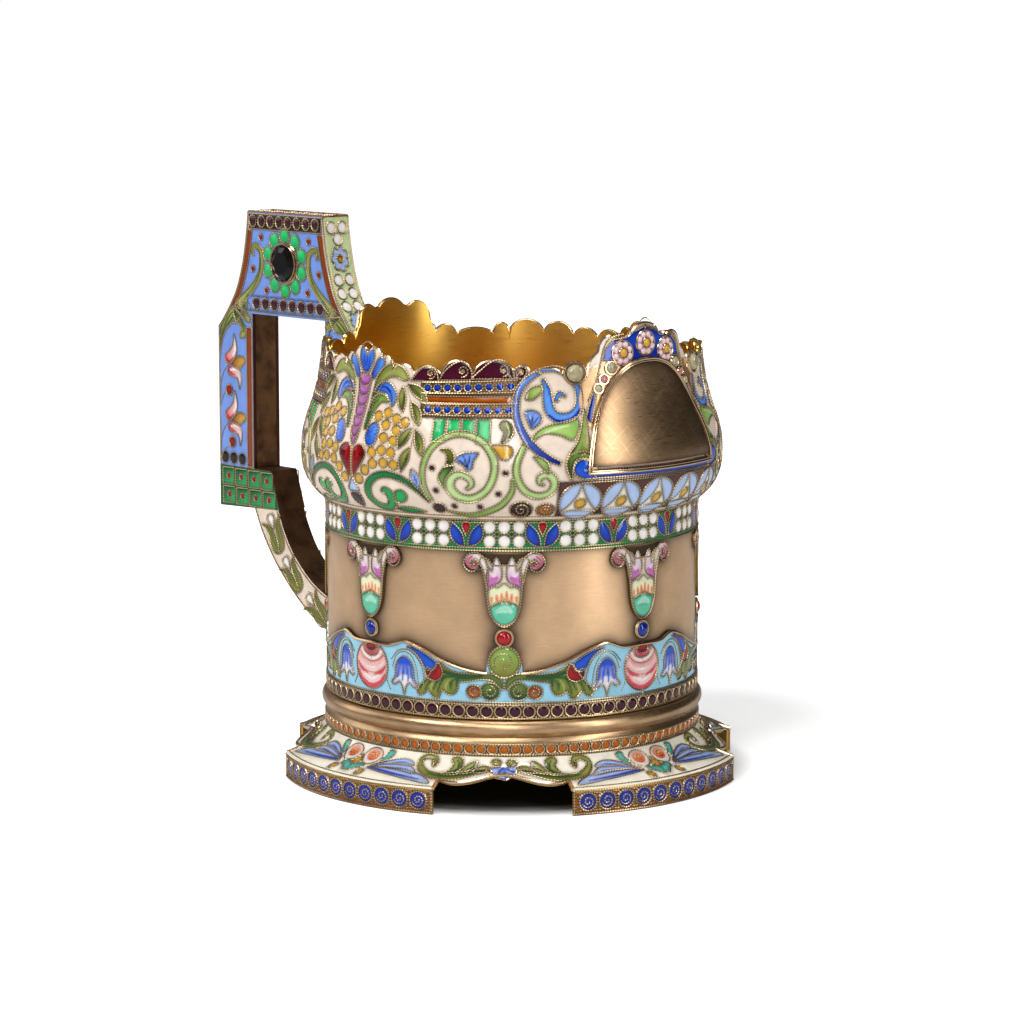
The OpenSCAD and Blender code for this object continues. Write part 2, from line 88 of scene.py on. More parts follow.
class Tone(Enum):
    """The enamels and gildings, as they look in plain light."""

    CREAM = "ecdac8"
    IVORY = "f4eedc"
    WHITE = "f8f4ee"
    SKY = "96cfe8"
    PERIWINKLE = "7698e4"
    PALE_BLUE = "b2c9f0"
    BLUE = "1450c8"
    COBALT = "062a9c"
    AZURE = "5f97e8"
    NAVY = "12195c"
    LIME = "b2d27c"
    LIME_LIGHT = "c8e2a0"
    LEAF = "86ad4e"
    OLIVE = "7f8330"
    OLIVE_LIGHT = "a8ac5c"
    OLIVE_DARK = "3e4a17"
    FOREST = "1f4a22"
    MOSS = "5c7a2a"
    EMERALD = "16a858"
    EMERALD_DARK = "046030"
    BOTTLE = "0c7c42"
    JADE = "34c878"
    MINT = "62c4a2"
    MINT_LIGHT = "a4dcc4"
    TEAL = "5fc2b0"
    MAROON = "4a0a26"
    PLUM = "3a0a20"
    BROWN = "2e1d19"
    UMBER = "5a3229"
    RUST = "8c3a0c"
    ORANGE = "b8600a"
    OCHRE = "9a5a22"
    RED = "b00610"
    RED_DARK = "5c0206"
    ROSE = "e8a0a0"
    ROSE_DEEP = "b85a76"
    BLUSH = "f0ccc8"
    CARMINE = "d8465a"
    CORAL_LIGHT = "eda070"
    ORCHID = "c46ab4"
    BONE = "ded0b8"
    PINK = "ecd4d2"
    MAUVE = "a05c96"
    VIOLET = "b068b0"
    PLUM_PINK = "7c3a70"
    BLOSSOM = "cc7fa4"
    BLACK = "0c090c"
    GOLD_ENAMEL = "d8a83c"
    LEMON = "eceac4"
    CRYSTAL = "d0c49a"
    LEMON_GREEN = "cadfa6"
    FLAME = "d85e28"
    GILT = "d8b894"
    PALE_GILT = "eec69c"
    WORN_GILT = "c8a47c"
    GILT_DARK = "4e4034"
    OLD_GOLD = "ae8f6c"
    BRIGHT = "ecc260"
    SILVER_GILT = "d4ba92"
    BRONZE = "8a6444"

    @property
    def light(self) -> Array:
        """The tone as linear light."""
        share = np.array([int(self.value[i : i + 2], 16) for i in (0, 2, 4)]) / 255
        return np.where(share <= 0.04045, share / 12.92, ((share + 0.055) / 1.055) ** 2.4)


@dataclass(frozen=True)
class Paint:
    """What fills a cell: one tone, or a blend from near, at the outline's first point, to far."""

    near: Tone
    far: Tone | None = None
    metal: float = 0.0
    crown: float = 0.07
    shade: float = 0.72
    soft: float = 0.16


def gilt(tone: Tone = Tone.GILT, crown: float = 0.0, shade: float = 0.3) -> Paint:
    """A patch of bare metal."""
    return Paint(tone, None, 1.0, crown, shade)


# Outlines


def smooth(points: Line, per: int = 5, closed: bool = False) -> Array:
    """A rounded line through the points: Catmull-Rom, the cubic whose slope at each point is half
    the step between its two neighbours.

    Args:
        points: The points.
        per: How many steps lie between two points.
        closed: Whether the last point joins the first.

    Returns:
        The rounded line's points.
    """
    p = np.asarray(points, float)
    if closed:
        p = np.vstack([p[-1], p, p[0], p[1]])
    else:
        p = np.vstack([2 * p[0] - p[1], p, 2 * p[-1] - p[-2]])
    t = (np.arange(per) / per)[None, :, None]
    a, b, c, d = (p[i : len(p) - 3 + i][:, None] for i in range(4))
    q = 0.5 * (2 * b + (c - a) * t + (2 * a - 5 * b + 4 * c - d) * t**2 + (3 * b - a - 3 * c + d) * t**3)
    q = q.reshape(-1, 2)
    return q if closed else np.vstack([q, p[-2]])


def blob(*points: tuple[float, float]) -> Array:
    """A closed rounded outline through the points."""
    return smooth(points, 5, True)


def even(path: Array, count: int) -> Array:
    """The path again, as count points at even steps along it.

    Args:
        path: The path's points.
        count: How many points to give.

    Returns:
        The evenly spaced points.
    """
    along = np.concatenate([[0], np.cumsum(np.linalg.norm(np.diff(path, axis=0), axis=1))])
    t = np.linspace(0, along[-1], count)
    return np.stack([np.interp(t, along, path[:, i]) for i in range(path.shape[1])], -1)


def length_of(path: Array) -> float:
    """The path's length."""
    return float(np.linalg.norm(np.diff(path, axis=0), axis=1).sum())


def sideways(path: Array) -> Array:
    """The unit vector to the left of the path at each of its points.

    Args:
        path: The path's points.

    Returns:
        One vector per point.
    """
    d = np.gradient(path, axis=0)
    d /= np.maximum(np.linalg.norm(d, axis=1, keepdims=True), 1e-9)
    return np.stack([-d[:, 1], d[:, 0]], -1)


def oval(u: float, v: float, a: float, b: float = 0.0, turn: float = 0.0, n: int = 20) -> Array:
    """A circle, or an ellipse of half axes a and b turned by some degrees, from its lowest point.

    Args:
        u: The centre along the face.
        v: The centre up the face.
        a: The half axis along u.
        b: The half axis along v, or 0 for a circle.
        turn: The turn in degrees.
        n: How many points.

    Returns:
        The outline.
    """
    t = np.linspace(0, 2 * np.pi, n, endpoint=False) - np.pi / 2
    x, y = a * np.cos(t), (b or a) * np.sin(t)
    c, s = math.cos(math.radians(turn)), math.sin(math.radians(turn))
    return np.stack([u + c * x - s * y, v + s * x + c * y], -1)


def leaf(base: tuple[float, float], tip: tuple[float, float], width: float,
         bend: float = 0.0, fullest: float = 0.5, full: float = 0.85) -> Array:
    """A leaf from base to tip: its half width is a sine over its length, raised to full, with its
    top at fullest, and its axis bends to the left by bend of its length.

    Args:
        base: Where the leaf starts.
        tip: Where it ends.
        width: Its full width.
        bend: How far its axis bends.
        fullest: Where it is widest, as a share of its length.
        full: The power that rounds it.

    Returns:
        The outline.
    """
    t = np.linspace(0, 1, 13)
    a, b = np.asarray(base, float), np.asarray(tip, float)
    left = np.array([-(b - a)[1], (b - a)[0]])
    axis = a + (b - a) * t[:, None] + left * (bend * 4 * t * (1 - t))[:, None]
    half = width / 2 * np.sin(np.pi * t ** (math.log(0.5) / math.log(fullest))) ** full
    half[0] = half[-1] = 0
    side = sideways(axis) * half[:, None]
    return np.vstack([axis + side, (axis - side)[-2:0:-1]])


def drop(tip: tuple[float, float], centre: tuple[float, float], r: float) -> Array:
    """A teardrop: a circle and its two tangents from the tip.

    Args:
        tip: The point of the drop.
        centre: The circle's centre.
        r: The circle's radius.

    Returns:
        The outline.
    """
    d = np.asarray(tip, float) - np.asarray(centre, float)
    reach = max(float(np.linalg.norm(d)), r * 1.05)
    first, start = math.atan2(d[1], d[0]), math.acos(r / reach)
    t = first + np.linspace(start, 2 * np.pi - start, 17)
    arc = np.asarray(centre) + r * np.stack([np.cos(t), np.sin(t)], -1)
    return np.vstack([np.asarray(tip, float), arc])


def band(points: Line, widths: Sequence[float], per: int = 5) -> Array:
    """A ribbon along a rounded line, its width running through the widths.

    Args:
        points: The middle line's points.
        widths: Its width at even steps.
        per: Steps between two points, or 1 to keep the line as it is.

    Returns:
        The outline.
    """
    axis = smooth(points, per) if per > 1 else np.asarray(points, float)
    t = np.linspace(0, 1, len(axis))
    half = np.interp(t, np.linspace(0, 1, len(widths)), widths)[:, None] / 2
    side = sideways(axis) * half
    return np.vstack([axis + side, (axis - side)[::-1]])


def curl(u: float, v: float, outer: float, inner: float, start: float, sweep: float, n: int = 36) -> Array:
    """A spiral line: the angle runs from start through sweep, in degrees, as the radius runs from
    outer to inner.

    Args:
        u: The centre along the face.
        v: The centre up the face.
        outer: The first radius.
        inner: The last radius.
        start: The first angle.
        sweep: How far the angle runs.
        n: How many points.

    Returns:
        The line.
    """
    t = np.linspace(0, 1, n)
    a, r = np.radians(start + sweep * t), outer + (inner - outer) * t
    return np.stack([u + r * np.cos(a), v + r * np.sin(a)], -1)


# Faces


class Face:
    """A face of the holder, as a function of two lengths in millimetres: u along it, v up it."""

    slope_step = 0.03

    @property
    def hand(self) -> float:
        """1 where u, v and the outward normal are right-handed, and -1 where they aren't."""
        return 1.0

    def at(self, u: Array, v: Array) -> Array:
        """The point of the face at (u, v)."""
        raise NotImplementedError

    def raised(self, u: Array, v: Array, h: Array | float) -> tuple[Array, Array]:
        """The point h above (u, v), and the outward normal: the cross product of the two slopes.

        Args:
            u: Lengths along the face.
            v: Lengths up the face.
            h: How far over it.

        Returns:
            The points and the unit normals.
        """
        e = self.slope_step
        along = self.at(u + e, v) - self.at(u - e, v)
        up = self.at(u, v + e) - self.at(u, v - e)
        n = np.cross(along, up) * self.hand
        n /= np.maximum(np.linalg.norm(n, axis=-1, keepdims=True), 1e-12)
        return self.at(u, v) + n * np.asarray(h)[..., None], n


@dataclass(frozen=True)
class Turned(Face):
    """A wall turned about the cup's axis: v picks a radius and a height off the profile, and u is
    the arc at one radius, from a middle angle."""

    arc_r: float
    profile: Profile
    middle: float = 0.0

    def at(self, u: Array, v: Array) -> Array:
        """Radius and height by v, angle by u over the arc's radius.  Past its ends the profile
        runs on straight.

        Args:
            u: The arc from the middle angle.
            v: The place on the profile.

        Returns:
            The points.
        """
        line = np.asarray(self.profile)
        first = line[0] + (line[0] - line[1]) * RUN_ON
        last = line[-1] + (line[-1] - line[-2]) * RUN_ON
        line = np.vstack([first, line, last])
        r, z = np.interp(v, line[:, 0], line[:, 1]), np.interp(v, line[:, 0], line[:, 2])
        a = math.radians(self.middle) + np.asarray(u) / self.arc_r
        return np.stack([r * np.cos(a), r * np.sin(a), z], -1)


@dataclass(frozen=True)
class Side(Face):
    """A flat side of the handle: u is the radius from the axis, v the height."""

    y: float

    @property
    def hand(self) -> float:
        """Which way the side looks."""
        return math.copysign(1.0, self.y)

    def at(self, u: Array, v: Array) -> Array:
        """Radius and height on the plane of one y."""
        return np.stack([-np.asarray(u, float), np.full(np.shape(u), self.y), np.asarray(v, float)], -1)


@dataclass(frozen=True)
class Strap(Face):
    """A strap along a line in the handle's plane: u runs across it, v along the line."""

    line: tuple[tuple[float, float], ...]
    sense: float = 1.0

    @property
    def hand(self) -> float:
        """Which way the strap looks."""
        return self.sense

    def at(self, u: Array, v: Array) -> Array:
        """The line's radius and height at the length v, and u as y.

        Args:
            u: How far across the strap.
            v: How far along its line.

        Returns:
            The points.
        """
        p = np.asarray(self.line)
        along = np.concatenate([[0], np.cumsum(np.linalg.norm(np.diff(p, axis=0), axis=1))])
        first, last = p[0] + (p[0] - p[1]) * RUN_ON, p[-1] + (p[-1] - p[-2]) * RUN_ON
        ends = RUN_ON * np.array([-along[1], along[-1] - along[-2]])
        key = np.concatenate([[ends[0]], along, [along[-1] + ends[1]]])
        p = np.vstack([first, p, last])
        r, z = np.interp(v, key, p[:, 0]), np.interp(v, key, p[:, 1])
        return np.stack([-r, np.asarray(u, float) + 0 * r, z], -1)


# Meshes


@dataclass
class Shape:
    """A mesh as whole arrays: points in millimetres, faces in groups of one size, and at each
    point a colour and a metal share."""

    points: Array
    faces: list[Array]
    tint: Array
    metal: Array

    @staticmethod
    def plain(points: Array, faces: list[Array], tone: Tone = Tone.SILVER_GILT,
              metal: float = 1.0) -> "Shape":
        """A shape of one tone all over."""
        return Shape(points, faces, np.tile(tone.light, (len(points), 1)), np.full(len(points), metal))

    @staticmethod
    def joined(shapes: Sequence["Shape"]) -> "Shape":
        """Several shapes as one: each one's face numbers move up by the points before it.

        Args:
            shapes: The shapes.

        Returns:
            One shape with all their points and faces.
        """
        starts = np.cumsum([0] + [len(s.points) for s in shapes])
        by_size: dict[int, list[Array]] = {}
        for start, s in zip(starts, shapes):
            for f in s.faces:
                if len(f):
                    by_size.setdefault(f.shape[1], []).append(f + start)
        return Shape(np.vstack([s.points for s in shapes]), [np.vstack(f) for f in by_size.values()],
                     np.vstack([s.tint for s in shapes]), np.concatenate([s.metal for s in shapes]))

    def turned(self, degrees: float) -> "Shape":
        """The shape turned about the cup's axis.

        Args:
            degrees: How far.

        Returns:
            The turned shape.
        """
        c, s = math.cos(math.radians(degrees)), math.sin(math.radians(degrees))
        turn = np.array([[c, -s, 0], [s, c, 0], [0, 0, 1]])
        return Shape(self.points @ turn.T, self.faces, self.tint, self.metal)

    def mirrored(self) -> "Shape":
        """The shape with left and right swapped, its faces turned over so that they still look out."""
        return Shape(self.points * [1, -1, 1], [f[:, ::-1] for f in self.faces], self.tint, self.metal)

    def round_about(self, angles: Sequence[float]) -> "Shape":
        """Copies of the shape at several angles, as one."""
        return Shape.joined([self.turned(a) for a in angles])

    @property
    def triangles(self) -> int:
        """How many triangles the faces make."""
        return sum(len(f) * (f.shape[1] - 2) for f in self.faces)


def quads(rows: int, cols: int, rows_ring: bool = False, cols_ring: bool = False) -> Array:
    """The faces of a grid of points: each joins two neighbours in a row to the two over them.

    Args:
        rows: How many rows the grid has.
        cols: How many points a row has.
        rows_ring: Whether the last row joins the first.
        cols_ring: Whether each row's last point joins its first.

    Returns:
        The faces, by point number.
    """
    i, k = np.meshgrid(np.arange(rows if rows_ring else rows - 1), np.arange(cols if cols_ring else cols - 1),
                       indexing="ij")
    j, m = (i + 1) % rows, (k + 1) % cols
    return np.stack([i * cols + k, i * cols + m, j * cols + m, j * cols + k], -1).reshape(-1, 4)


def tube(path: Array, normal: Array, closed: bool, radii: Array, sides: int, tone: Tone) -> Shape:
    """A tube along a path in space: a ring of points about each path point, in the plane of the
    face's normal and of the cross product of the path's direction with it.

    Args:
        path: The path's points in space.
        normal: The face's normal at each of them.
        closed: Whether the path is a ring.
        radii: The radius at each point.
        sides: How many points a ring has.
        tone: Its tone.

    Returns:
        The tube, capped where it is open.
    """
    along = (np.roll(path, -1, 0) - np.roll(path, 1, 0)) if closed else np.gradient(path, axis=0)
    along /= np.maximum(np.linalg.norm(along, axis=1, keepdims=True), 1e-12)
    side = np.cross(along, normal)
    side /= np.maximum(np.linalg.norm(side, axis=1, keepdims=True), 1e-12)
    up = np.cross(side, along)
    a = np.arange(sides) / sides * 2 * np.pi
    ring = side[:, None] * np.cos(a)[None, :, None] + up[:, None] * np.sin(a)[None, :, None]
    points = (path[:, None] + ring * radii[:, None, None]).reshape(-1, 3)
    n = len(path)
    faces = [quads(n, sides, closed, True)[:, ::-1]]
    if not closed:
        caps = np.arange(sides)
        faces.append(np.vstack([caps, (n - 1) * sides + caps[::-1]]))
    return Shape.plain(points, faces, tone)


def dome(face: Face, u: float, v: float, r: float, height: float, tone: Tone,
         rings: int = 4, sides: int = 14, base: float = -0.25, facets: float = 0.0) -> Shape:
    """A polished drop on a face: rings of points whose height is the root of one less the square
    of their share of the radius; facets flattens it into a cut stone with a table.

    Args:
        face: The face it stands on.
        u: Its centre along the face.
        v: Its centre up the face.
        r: Its radius.
        height: How far its top stands out.
        tone: Its tone.
        rings: How many rings it has.
        sides: How many points a ring has.
        base: How far out its open edge starts.
        facets: The table's share of the radius on a cut stone, or 0.

    Returns:
        The closed drop.
    """
    share = np.concatenate([[1.0], np.cos(np.linspace(0, 1, rings, endpoint=False) * np.pi / 2)])
    lift = np.concatenate([[base], height * np.sqrt(np.maximum(0, 1 - share[1:] ** 2))])
    if facets:
        share = np.array([1.0, 1.0, 0.86, facets])
        lift = np.array([base, 0.0, height * 0.55, height])
    a = np.arange(sides) / sides * 2 * np.pi + (np.pi / sides)
    uu, vv = u + r * share[:, None] * np.cos(a), v + r * share[:, None] * np.sin(a)
    points, _ = face.raised(uu, vv, np.broadcast_to(lift[:, None], uu.shape))
    top, _ = face.raised(np.array([u]), np.array([v]), height)
    points = np.vstack([points.reshape(-1, 3), top])
    rows = len(share)
    ring = np.arange(sides)
    fan = np.stack([(rows - 1) * sides + ring, (rows - 1) * sides + (ring + 1) % sides,
                    np.full(sides, rows * sides)], -1)
    faces = [quads(rows, sides, False, True), fan, ring[None, ::-1]]
    if face.hand < 0:
        faces = [f[:, ::-1] for f in faces]
    return Shape.plain(points, faces, tone, 0.0)


def to_outline(p: Array, outline: Array, closed: bool = True) -> tuple[Array, Array]:
    """How far each point lies inside the outline, below zero outside, and its share of the way
    from the outline's first point to the far end and back.

    Args:
        p: The points.
        outline: The outline's points.
        closed: Whether the outline is a ring.

    Returns:
        The distances and the shares.
    """
    a, b = (outline, np.roll(outline, -1, 0)) if closed else (outline[:-1], outline[1:])
    ab, ap = b - a, p[:, None] - a[None]
    t = np.clip((ap * ab).sum(-1) / np.maximum((ab * ab).sum(-1), 1e-12), 0, 1)
    gap = np.linalg.norm(ap - t[..., None] * ab, axis=-1)
    nearest = gap.argmin(1)
    row = np.arange(len(p))
    d = gap[row, nearest]
    over = (a[:, 1] > p[:, 1:]) != (b[:, 1] > p[:, 1:])
    rise = np.where(np.abs(ab[:, 1]) < 1e-12, 1e-12, ab[:, 1])
    cross = a[:, 0] + (p[:, 1:] - a[:, 1]) * ab[:, 0] / rise
    inside = (over & (p[:, :1] < cross)).sum(1) % 2 == 1
    way = (nearest + t[row, nearest]) / len(outline)
    return np.where(inside, d, -d), 1 - np.abs(2 * way - 1)


@dataclass
class Pen:
    """Where a motif is drawn: it may be moved, turned, scaled or mirrored first."""

    canvas: "Canvas"
    u: float = 0.0
    v: float = 0.0
    flip: bool = False
    turn: float = 0.0
    size: float = 1.0
    stretch: float = 1.0

    def both(self) -> list["Pen"]:
        """A pen at this place, and its mirror image."""
        return [Pen(self.canvas, self.u, self.v, flip) for flip in (False, True)]

    def spot(self, points: Array) -> Array:
        """The points where they lie on the canvas.

        Args:
            points: Points as the motif has them.

        Returns:
            The points on the canvas.
        """
        p = np.asarray(points, float).reshape(-1, 2) * self.size
        c, s = math.cos(math.radians(self.turn)), math.sin(math.radians(self.turn))
        p = np.stack([p[:, 0] * c - p[:, 1] * s, (p[:, 0] * s + p[:, 1] * c) * self.stretch], -1)
        if self.flip:
            p[:, 0] *= -1
        return p + [self.u, self.v]

    def cell(self, outline: Array, paint: Paint | Tone, far: Tone | None = None, wire: float = 0.16) -> None:
        """Fills an outline, and lays a beaded wire round it unless wire is 0.

        Args:
            outline: The cell's outline.
            paint: What fills it.
            far: The tone it blends into.
            wire: The wire's radius, or 0.
        """
        paint = paint if isinstance(paint, Paint) else Paint(paint, far)
        outline = self.spot(outline)
        self.canvas.fill(outline, paint)
        if wire:
            self.canvas.wires.append((outline, True, wire))

    def stroke(self, path: Line, width: float, tone: Tone, metal: float = 0.0) -> None:
        """A painted line with no wire.

        Args:
            path: The stroke's middle line.
            width: Its full width.
            tone: Its tone.
            metal: How far it is bare metal.
        """
        line = smooth(path, 4) if len(path) > 2 else np.asarray(path, float)
        self.canvas.fill(self.spot(band(line, (width * 0.4, width, width * 0.5), 1)),
                         Paint(tone, None, metal, 0.0, 0.0))

    def line(self, path: Array, wire: float = 0.16, closed: bool = False) -> None:
        """A beaded wire alone."""
        self.canvas.wires.append((self.spot(path), closed, wire))

    def dot(self, u: float, v: float, r: float, paint: Paint | Tone, far: Tone | None = None,
            wire: float = 0.15) -> None:
        """A round cell with a full crown.

        Args:
            u: The centre along the face.
            v: The centre up the face.
            r: Its radius.
            paint: What fills it.
            far: The tone it blends into.
            wire: The wire's radius, or 0.
        """
        if isinstance(paint, Tone):
            paint = Paint(paint, far, 0.0, 0.12)
        self.cell(oval(u, v, r, n=14), paint, wire=wire)


@dataclass
class Canvas:
    """An enamelled face: patches of fine grid over it, each closed below by a few coarse rows."""

    face: Face
    ground: Paint
    depth: float = 0.5
    lift: float = 0.0
    step: float = FINE
    limits: tuple[float, float] = (-1e9, 1e9)
    backs: int = 2
    hidden: Tone = Tone.BRIGHT
    shadow_reach: float = 0.28
    rim_reach: float = 0.34
    crown_reach: float = 0.45
    bead_radii: tuple[float, float] = (1.05, 0.62)
    # Painted light on the wires: the tint factor of each bead's crest (painted highlight) and of its neck
    # (painted shade).
    bead_highlight_and_shade: tuple[float, float] = (1.15, 0.2)
    wires: list[tuple[Array, bool, float]] = field(default_factory=list)
    patches: list[tuple[slice, int, int, Back | None]] = field(default_factory=list)

    def __post_init__(self) -> None:
        """Starts with no points."""
        self.at = np.zeros((0, 2))
        self.tint = np.zeros((0, 3))
        self.metal = np.zeros(0)
        self.height = np.zeros(0)

    def patch(self, low: Line, high: Line, back: Back | None = None,
              across: float = 0.0) -> "Canvas":
        """Adds a grid that runs from one line to another, point for point: each point is a blend of
        the two lines' points.  The lines have as many points as each other.

        Args:
            low: The first line.
            high: The line over it.
            back: Gives the rows that close the patch below, from its high and low edges.
            across: The step from line to line, where it isn't the canvas's own.

        Returns:
            This canvas.
        """
        a, b = np.asarray(low, float), np.asarray(high, float)
        middle = (a + b) / 2
        along = np.concatenate([[0], np.cumsum(np.linalg.norm(np.diff(middle, axis=0), axis=1))])
        cols = max(3, int(math.ceil(along[-1] / self.step)) + 1)
        t = np.linspace(0, along[-1], cols)
        a, b = (np.stack([np.interp(t, along, p[:, i]) for i in (0, 1)], -1) for p in (a, b))
        rows = max(3, int(math.ceil(np.linalg.norm(b - a, axis=1).max() / (across or self.step))) + 1)
        s = np.linspace(0, 1, rows)[:, None, None]
        grid = (a[None] * (1 - s) + b[None] * s).reshape(-1, 2)
        start = len(self.at)
        self.at = np.vstack([self.at, grid])
        self.tint = np.vstack([self.tint, np.tile(self.ground.near.light, (len(grid), 1))])
        self.metal = np.concatenate([self.metal, np.full(len(grid), self.ground.metal)])
        self.height = np.concatenate([self.height, np.full(len(grid), self.lift)])
        self.patches.append((slice(start, start + len(grid)), rows, cols, back))
        return self

    def pen(self, u: float = 0.0, v: float = 0.0, flip: bool = False, turn: float = 0.0,
            size: float = 1.0, stretch: float = 1.0) -> Pen:
        """A pen at some place on this canvas."""
        return Pen(self, u, v, flip, turn, size, stretch)

    def fill(self, outline: Array, paint: Paint) -> None:
        """Lays enamel inside an outline: full a little way in, darker along its edge and just outside it as
        painted shade, and crowned.

        Args:
            outline: The cell's outline on the canvas.
            paint: Its enamel.
        """
        lo, hi = outline.min(0) - 0.3, outline.max(0) + 0.3
        near = np.flatnonzero(((self.at > lo) & (self.at < hi)).all(1))
        if not len(near):
            return
        d, way = to_outline(self.at[near], outline)
        cover = np.clip(d / paint.soft + 0.5, 0, 1)
        tone = paint.near.light
        if paint.far:
            blend = np.clip(way * 1.15 - 0.05, 0, 1)[:, None]
            tone = tone * (1 - blend) + paint.far.light * blend
        # Painted shade: the ground just outside the outline and the cell's own rim are darkened.
        self.tint[near] *= (1 - 0.7 * paint.shade * np.exp(-((d / self.shadow_reach) ** 2)))[:, None]
        tone = tone * (1 - paint.shade * np.exp(-((np.maximum(d, 0) / self.rim_reach) ** 2)))[:, None]
        self.tint[near] += cover[:, None] * (tone - self.tint[near])
        self.metal[near] += cover * (paint.metal - self.metal[near])
        rise = paint.crown * (1 - np.exp(-np.maximum(d, 0) / self.crown_reach))
        self.height[near] += cover * (self.lift + rise - self.height[near])

    def halo(self, outline: Array, width: float, strength: float, tone: Tone = Tone.GILT_DARK,
             closed: bool = True) -> None:
        """Darkens the face round an outline towards a tone, less and less over the width.

        Args:
            outline: The outline or line.
            width: How far the dullness reaches.
            strength: How strong it is at the outline.
            tone: What it tends to.
            closed: Whether the outline is a ring.
        """
        low, high = outline.min(0) - 3 * width, outline.max(0) + 3 * width
        near = np.flatnonzero(((self.at > low) & (self.at < high)).all(1))
        for part in np.array_split(near, max(1, len(near) * len(outline) // 4_000_000 + 1)):
            if not len(part):
                continue
            d, _ = to_outline(self.at[part], outline, closed)
            away = np.maximum(-d, 0) if closed else np.abs(d)
            k = (strength * np.exp(-((away / width) ** 1.5)))[:, None]
            self.tint[part] += k * (tone.light - self.tint[part])

    def mottle(self, strength: float = 0.06) -> None:
        """Clouds the enamel a little, by the product of two bent sine waves and a faster third.

        Args:
            strength: How strong the clouds are.
        """
        u, v = self.at.T
        slow = np.sin(u * 0.9 + 1.3 * np.sin(v * 0.7)) * np.sin(v * 1.1 + np.sin(u * 0.5) * 2)
        self.tint *= (1 + strength * (slow + 0.5 * np.sin(u * 2.3 + v * 1.7)))[:, None]

    @staticmethod
    def zip(rows: int, behind: int) -> Array:
        """Triangles between a column of front rows and the fewer rows behind it, as row numbers:
        one on each step of the front, and one on each step of the back.

        Args:
            rows: How many rows the front has.
            behind: How many lie behind.

        Returns:
            The triangles.
        """
        i = np.arange(rows)
        j = np.floor(i * (behind - 1) / (rows - 1) + 0.5).astype(int)
        back = rows + behind - 1 - j
        on_front = np.stack([i[:-1], i[1:], back[:-1]], -1)
        k = np.flatnonzero(np.diff(j))
        on_back = np.stack([k + 1, back[k + 1], back[k]], -1)
        return np.vstack([on_front, on_back])

    def sheet(self) -> Shape:
        """The closed mesh: the painted rows, then the rows behind, joined in a loop, and capped.

        Returns:
            The mesh of all the patches.
        """
        shapes = []
        for where, rows, cols, back in self.patches:
            uv = self.at[where].reshape(rows, cols, 2)
            top, _ = self.face.raised(uv[..., 0], uv[..., 1], self.height[where].reshape(rows, cols))
            low, high = uv[0], uv[-1]
            if back:
                behind = back(high, low)
            else:
                lines = [(high, 0.07)] + [(high * (1 - s) + low * s, self.depth)
                                          for s in np.linspace(0, 1, self.backs)] + [(low, 0.07)]
                behind = [self.face.raised(e[:, 0], e[:, 1], -down)[0] for e, down in lines]
            grid = np.concatenate([top, np.stack(behind)])
            extra = len(behind) * cols
            tint = np.vstack([self.tint[where], np.tile(self.hidden.light, (extra, 1))])
            metal = np.concatenate([self.metal[where], np.ones(extra)])
            caps = self.zip(rows, len(behind)) * cols
            mid = cols // 2
            a, b = uv[0, min(mid + 1, cols - 1)] - uv[0, mid - 1], uv[-1, mid] - uv[0, mid]
            faces = [quads(len(grid), cols, True), np.vstack([caps, caps[:, ::-1] + cols - 1])]
            if (a[0] * b[1] - a[1] * b[0]) * self.face.hand < 0:
                faces = [f[:, ::-1] for f in faces]
            shapes.append(Shape(grid.reshape(-1, 3), faces, tint, metal))
        return Shape.joined(shapes)

    def kept(self, p: Array, closed: bool) -> list[tuple[Array, bool]]:
        """The runs of a wire's points that lie between the canvas's limits, and whether each is a
        full ring.

        Args:
            p: The wire's points.
            closed: Whether the wire is a ring.

        Returns:
            The numbers of each run's points, and whether it is a ring.
        """
        inside = (p[:, 0] >= self.limits[0] - 1e-6) & (p[:, 0] <= self.limits[1] + 1e-6)
        order = np.arange(len(p))
        if inside.all():
            return [(order, closed)]
        if closed:
            order = np.roll(order, -int(np.flatnonzero(~inside)[0]))
        runs = np.split(order, np.flatnonzero(np.diff(inside[order].astype(int))) + 1)
        return [(r, False) for r in runs if inside[r[0]] and len(r) > 2]

    def wiring(self, tone: Tone = Tone.SILVER_GILT, pitch: float = 0.53) -> Shape:
        """The beaded wires: along each, rings of full and of smaller radius in turn, two to a bead; the full
        rings carry a painted highlight and the slim ones painted shade.

        Args:
            tone: The wires' tone.
            pitch: The length of one bead.

        Returns:
            All the wires as one.
        """
        shapes = []
        for path, closed, radius in self.wires:
            p = np.vstack([path, path[:1]]) if closed else path
            count = max(3, int(round(length_of(p) / pitch))) * 2
            p = even(p, count + 1)
            p = p[:-1] if closed else p
            full, slim = self.bead_radii
            radii = radius * np.where(np.arange(len(p)) % 2, slim, full)
            for part, whole in self.kept(p, closed):
                points, normal = self.face.raised(p[part, 0], p[part, 1], self.lift + radius * 0.3)
                wire = tube(points, normal, whole, radii[part], 5, tone)
                # Painted highlight and shade: full rings are tinted lighter and slim rings much darker.
                bright, dark = self.bead_highlight_and_shade
                wire.tint *= np.repeat(np.where(part % 2, dark, bright), 5)[:, None]
                shapes.append(wire)
        return Shape.joined(shapes)


# Finishes


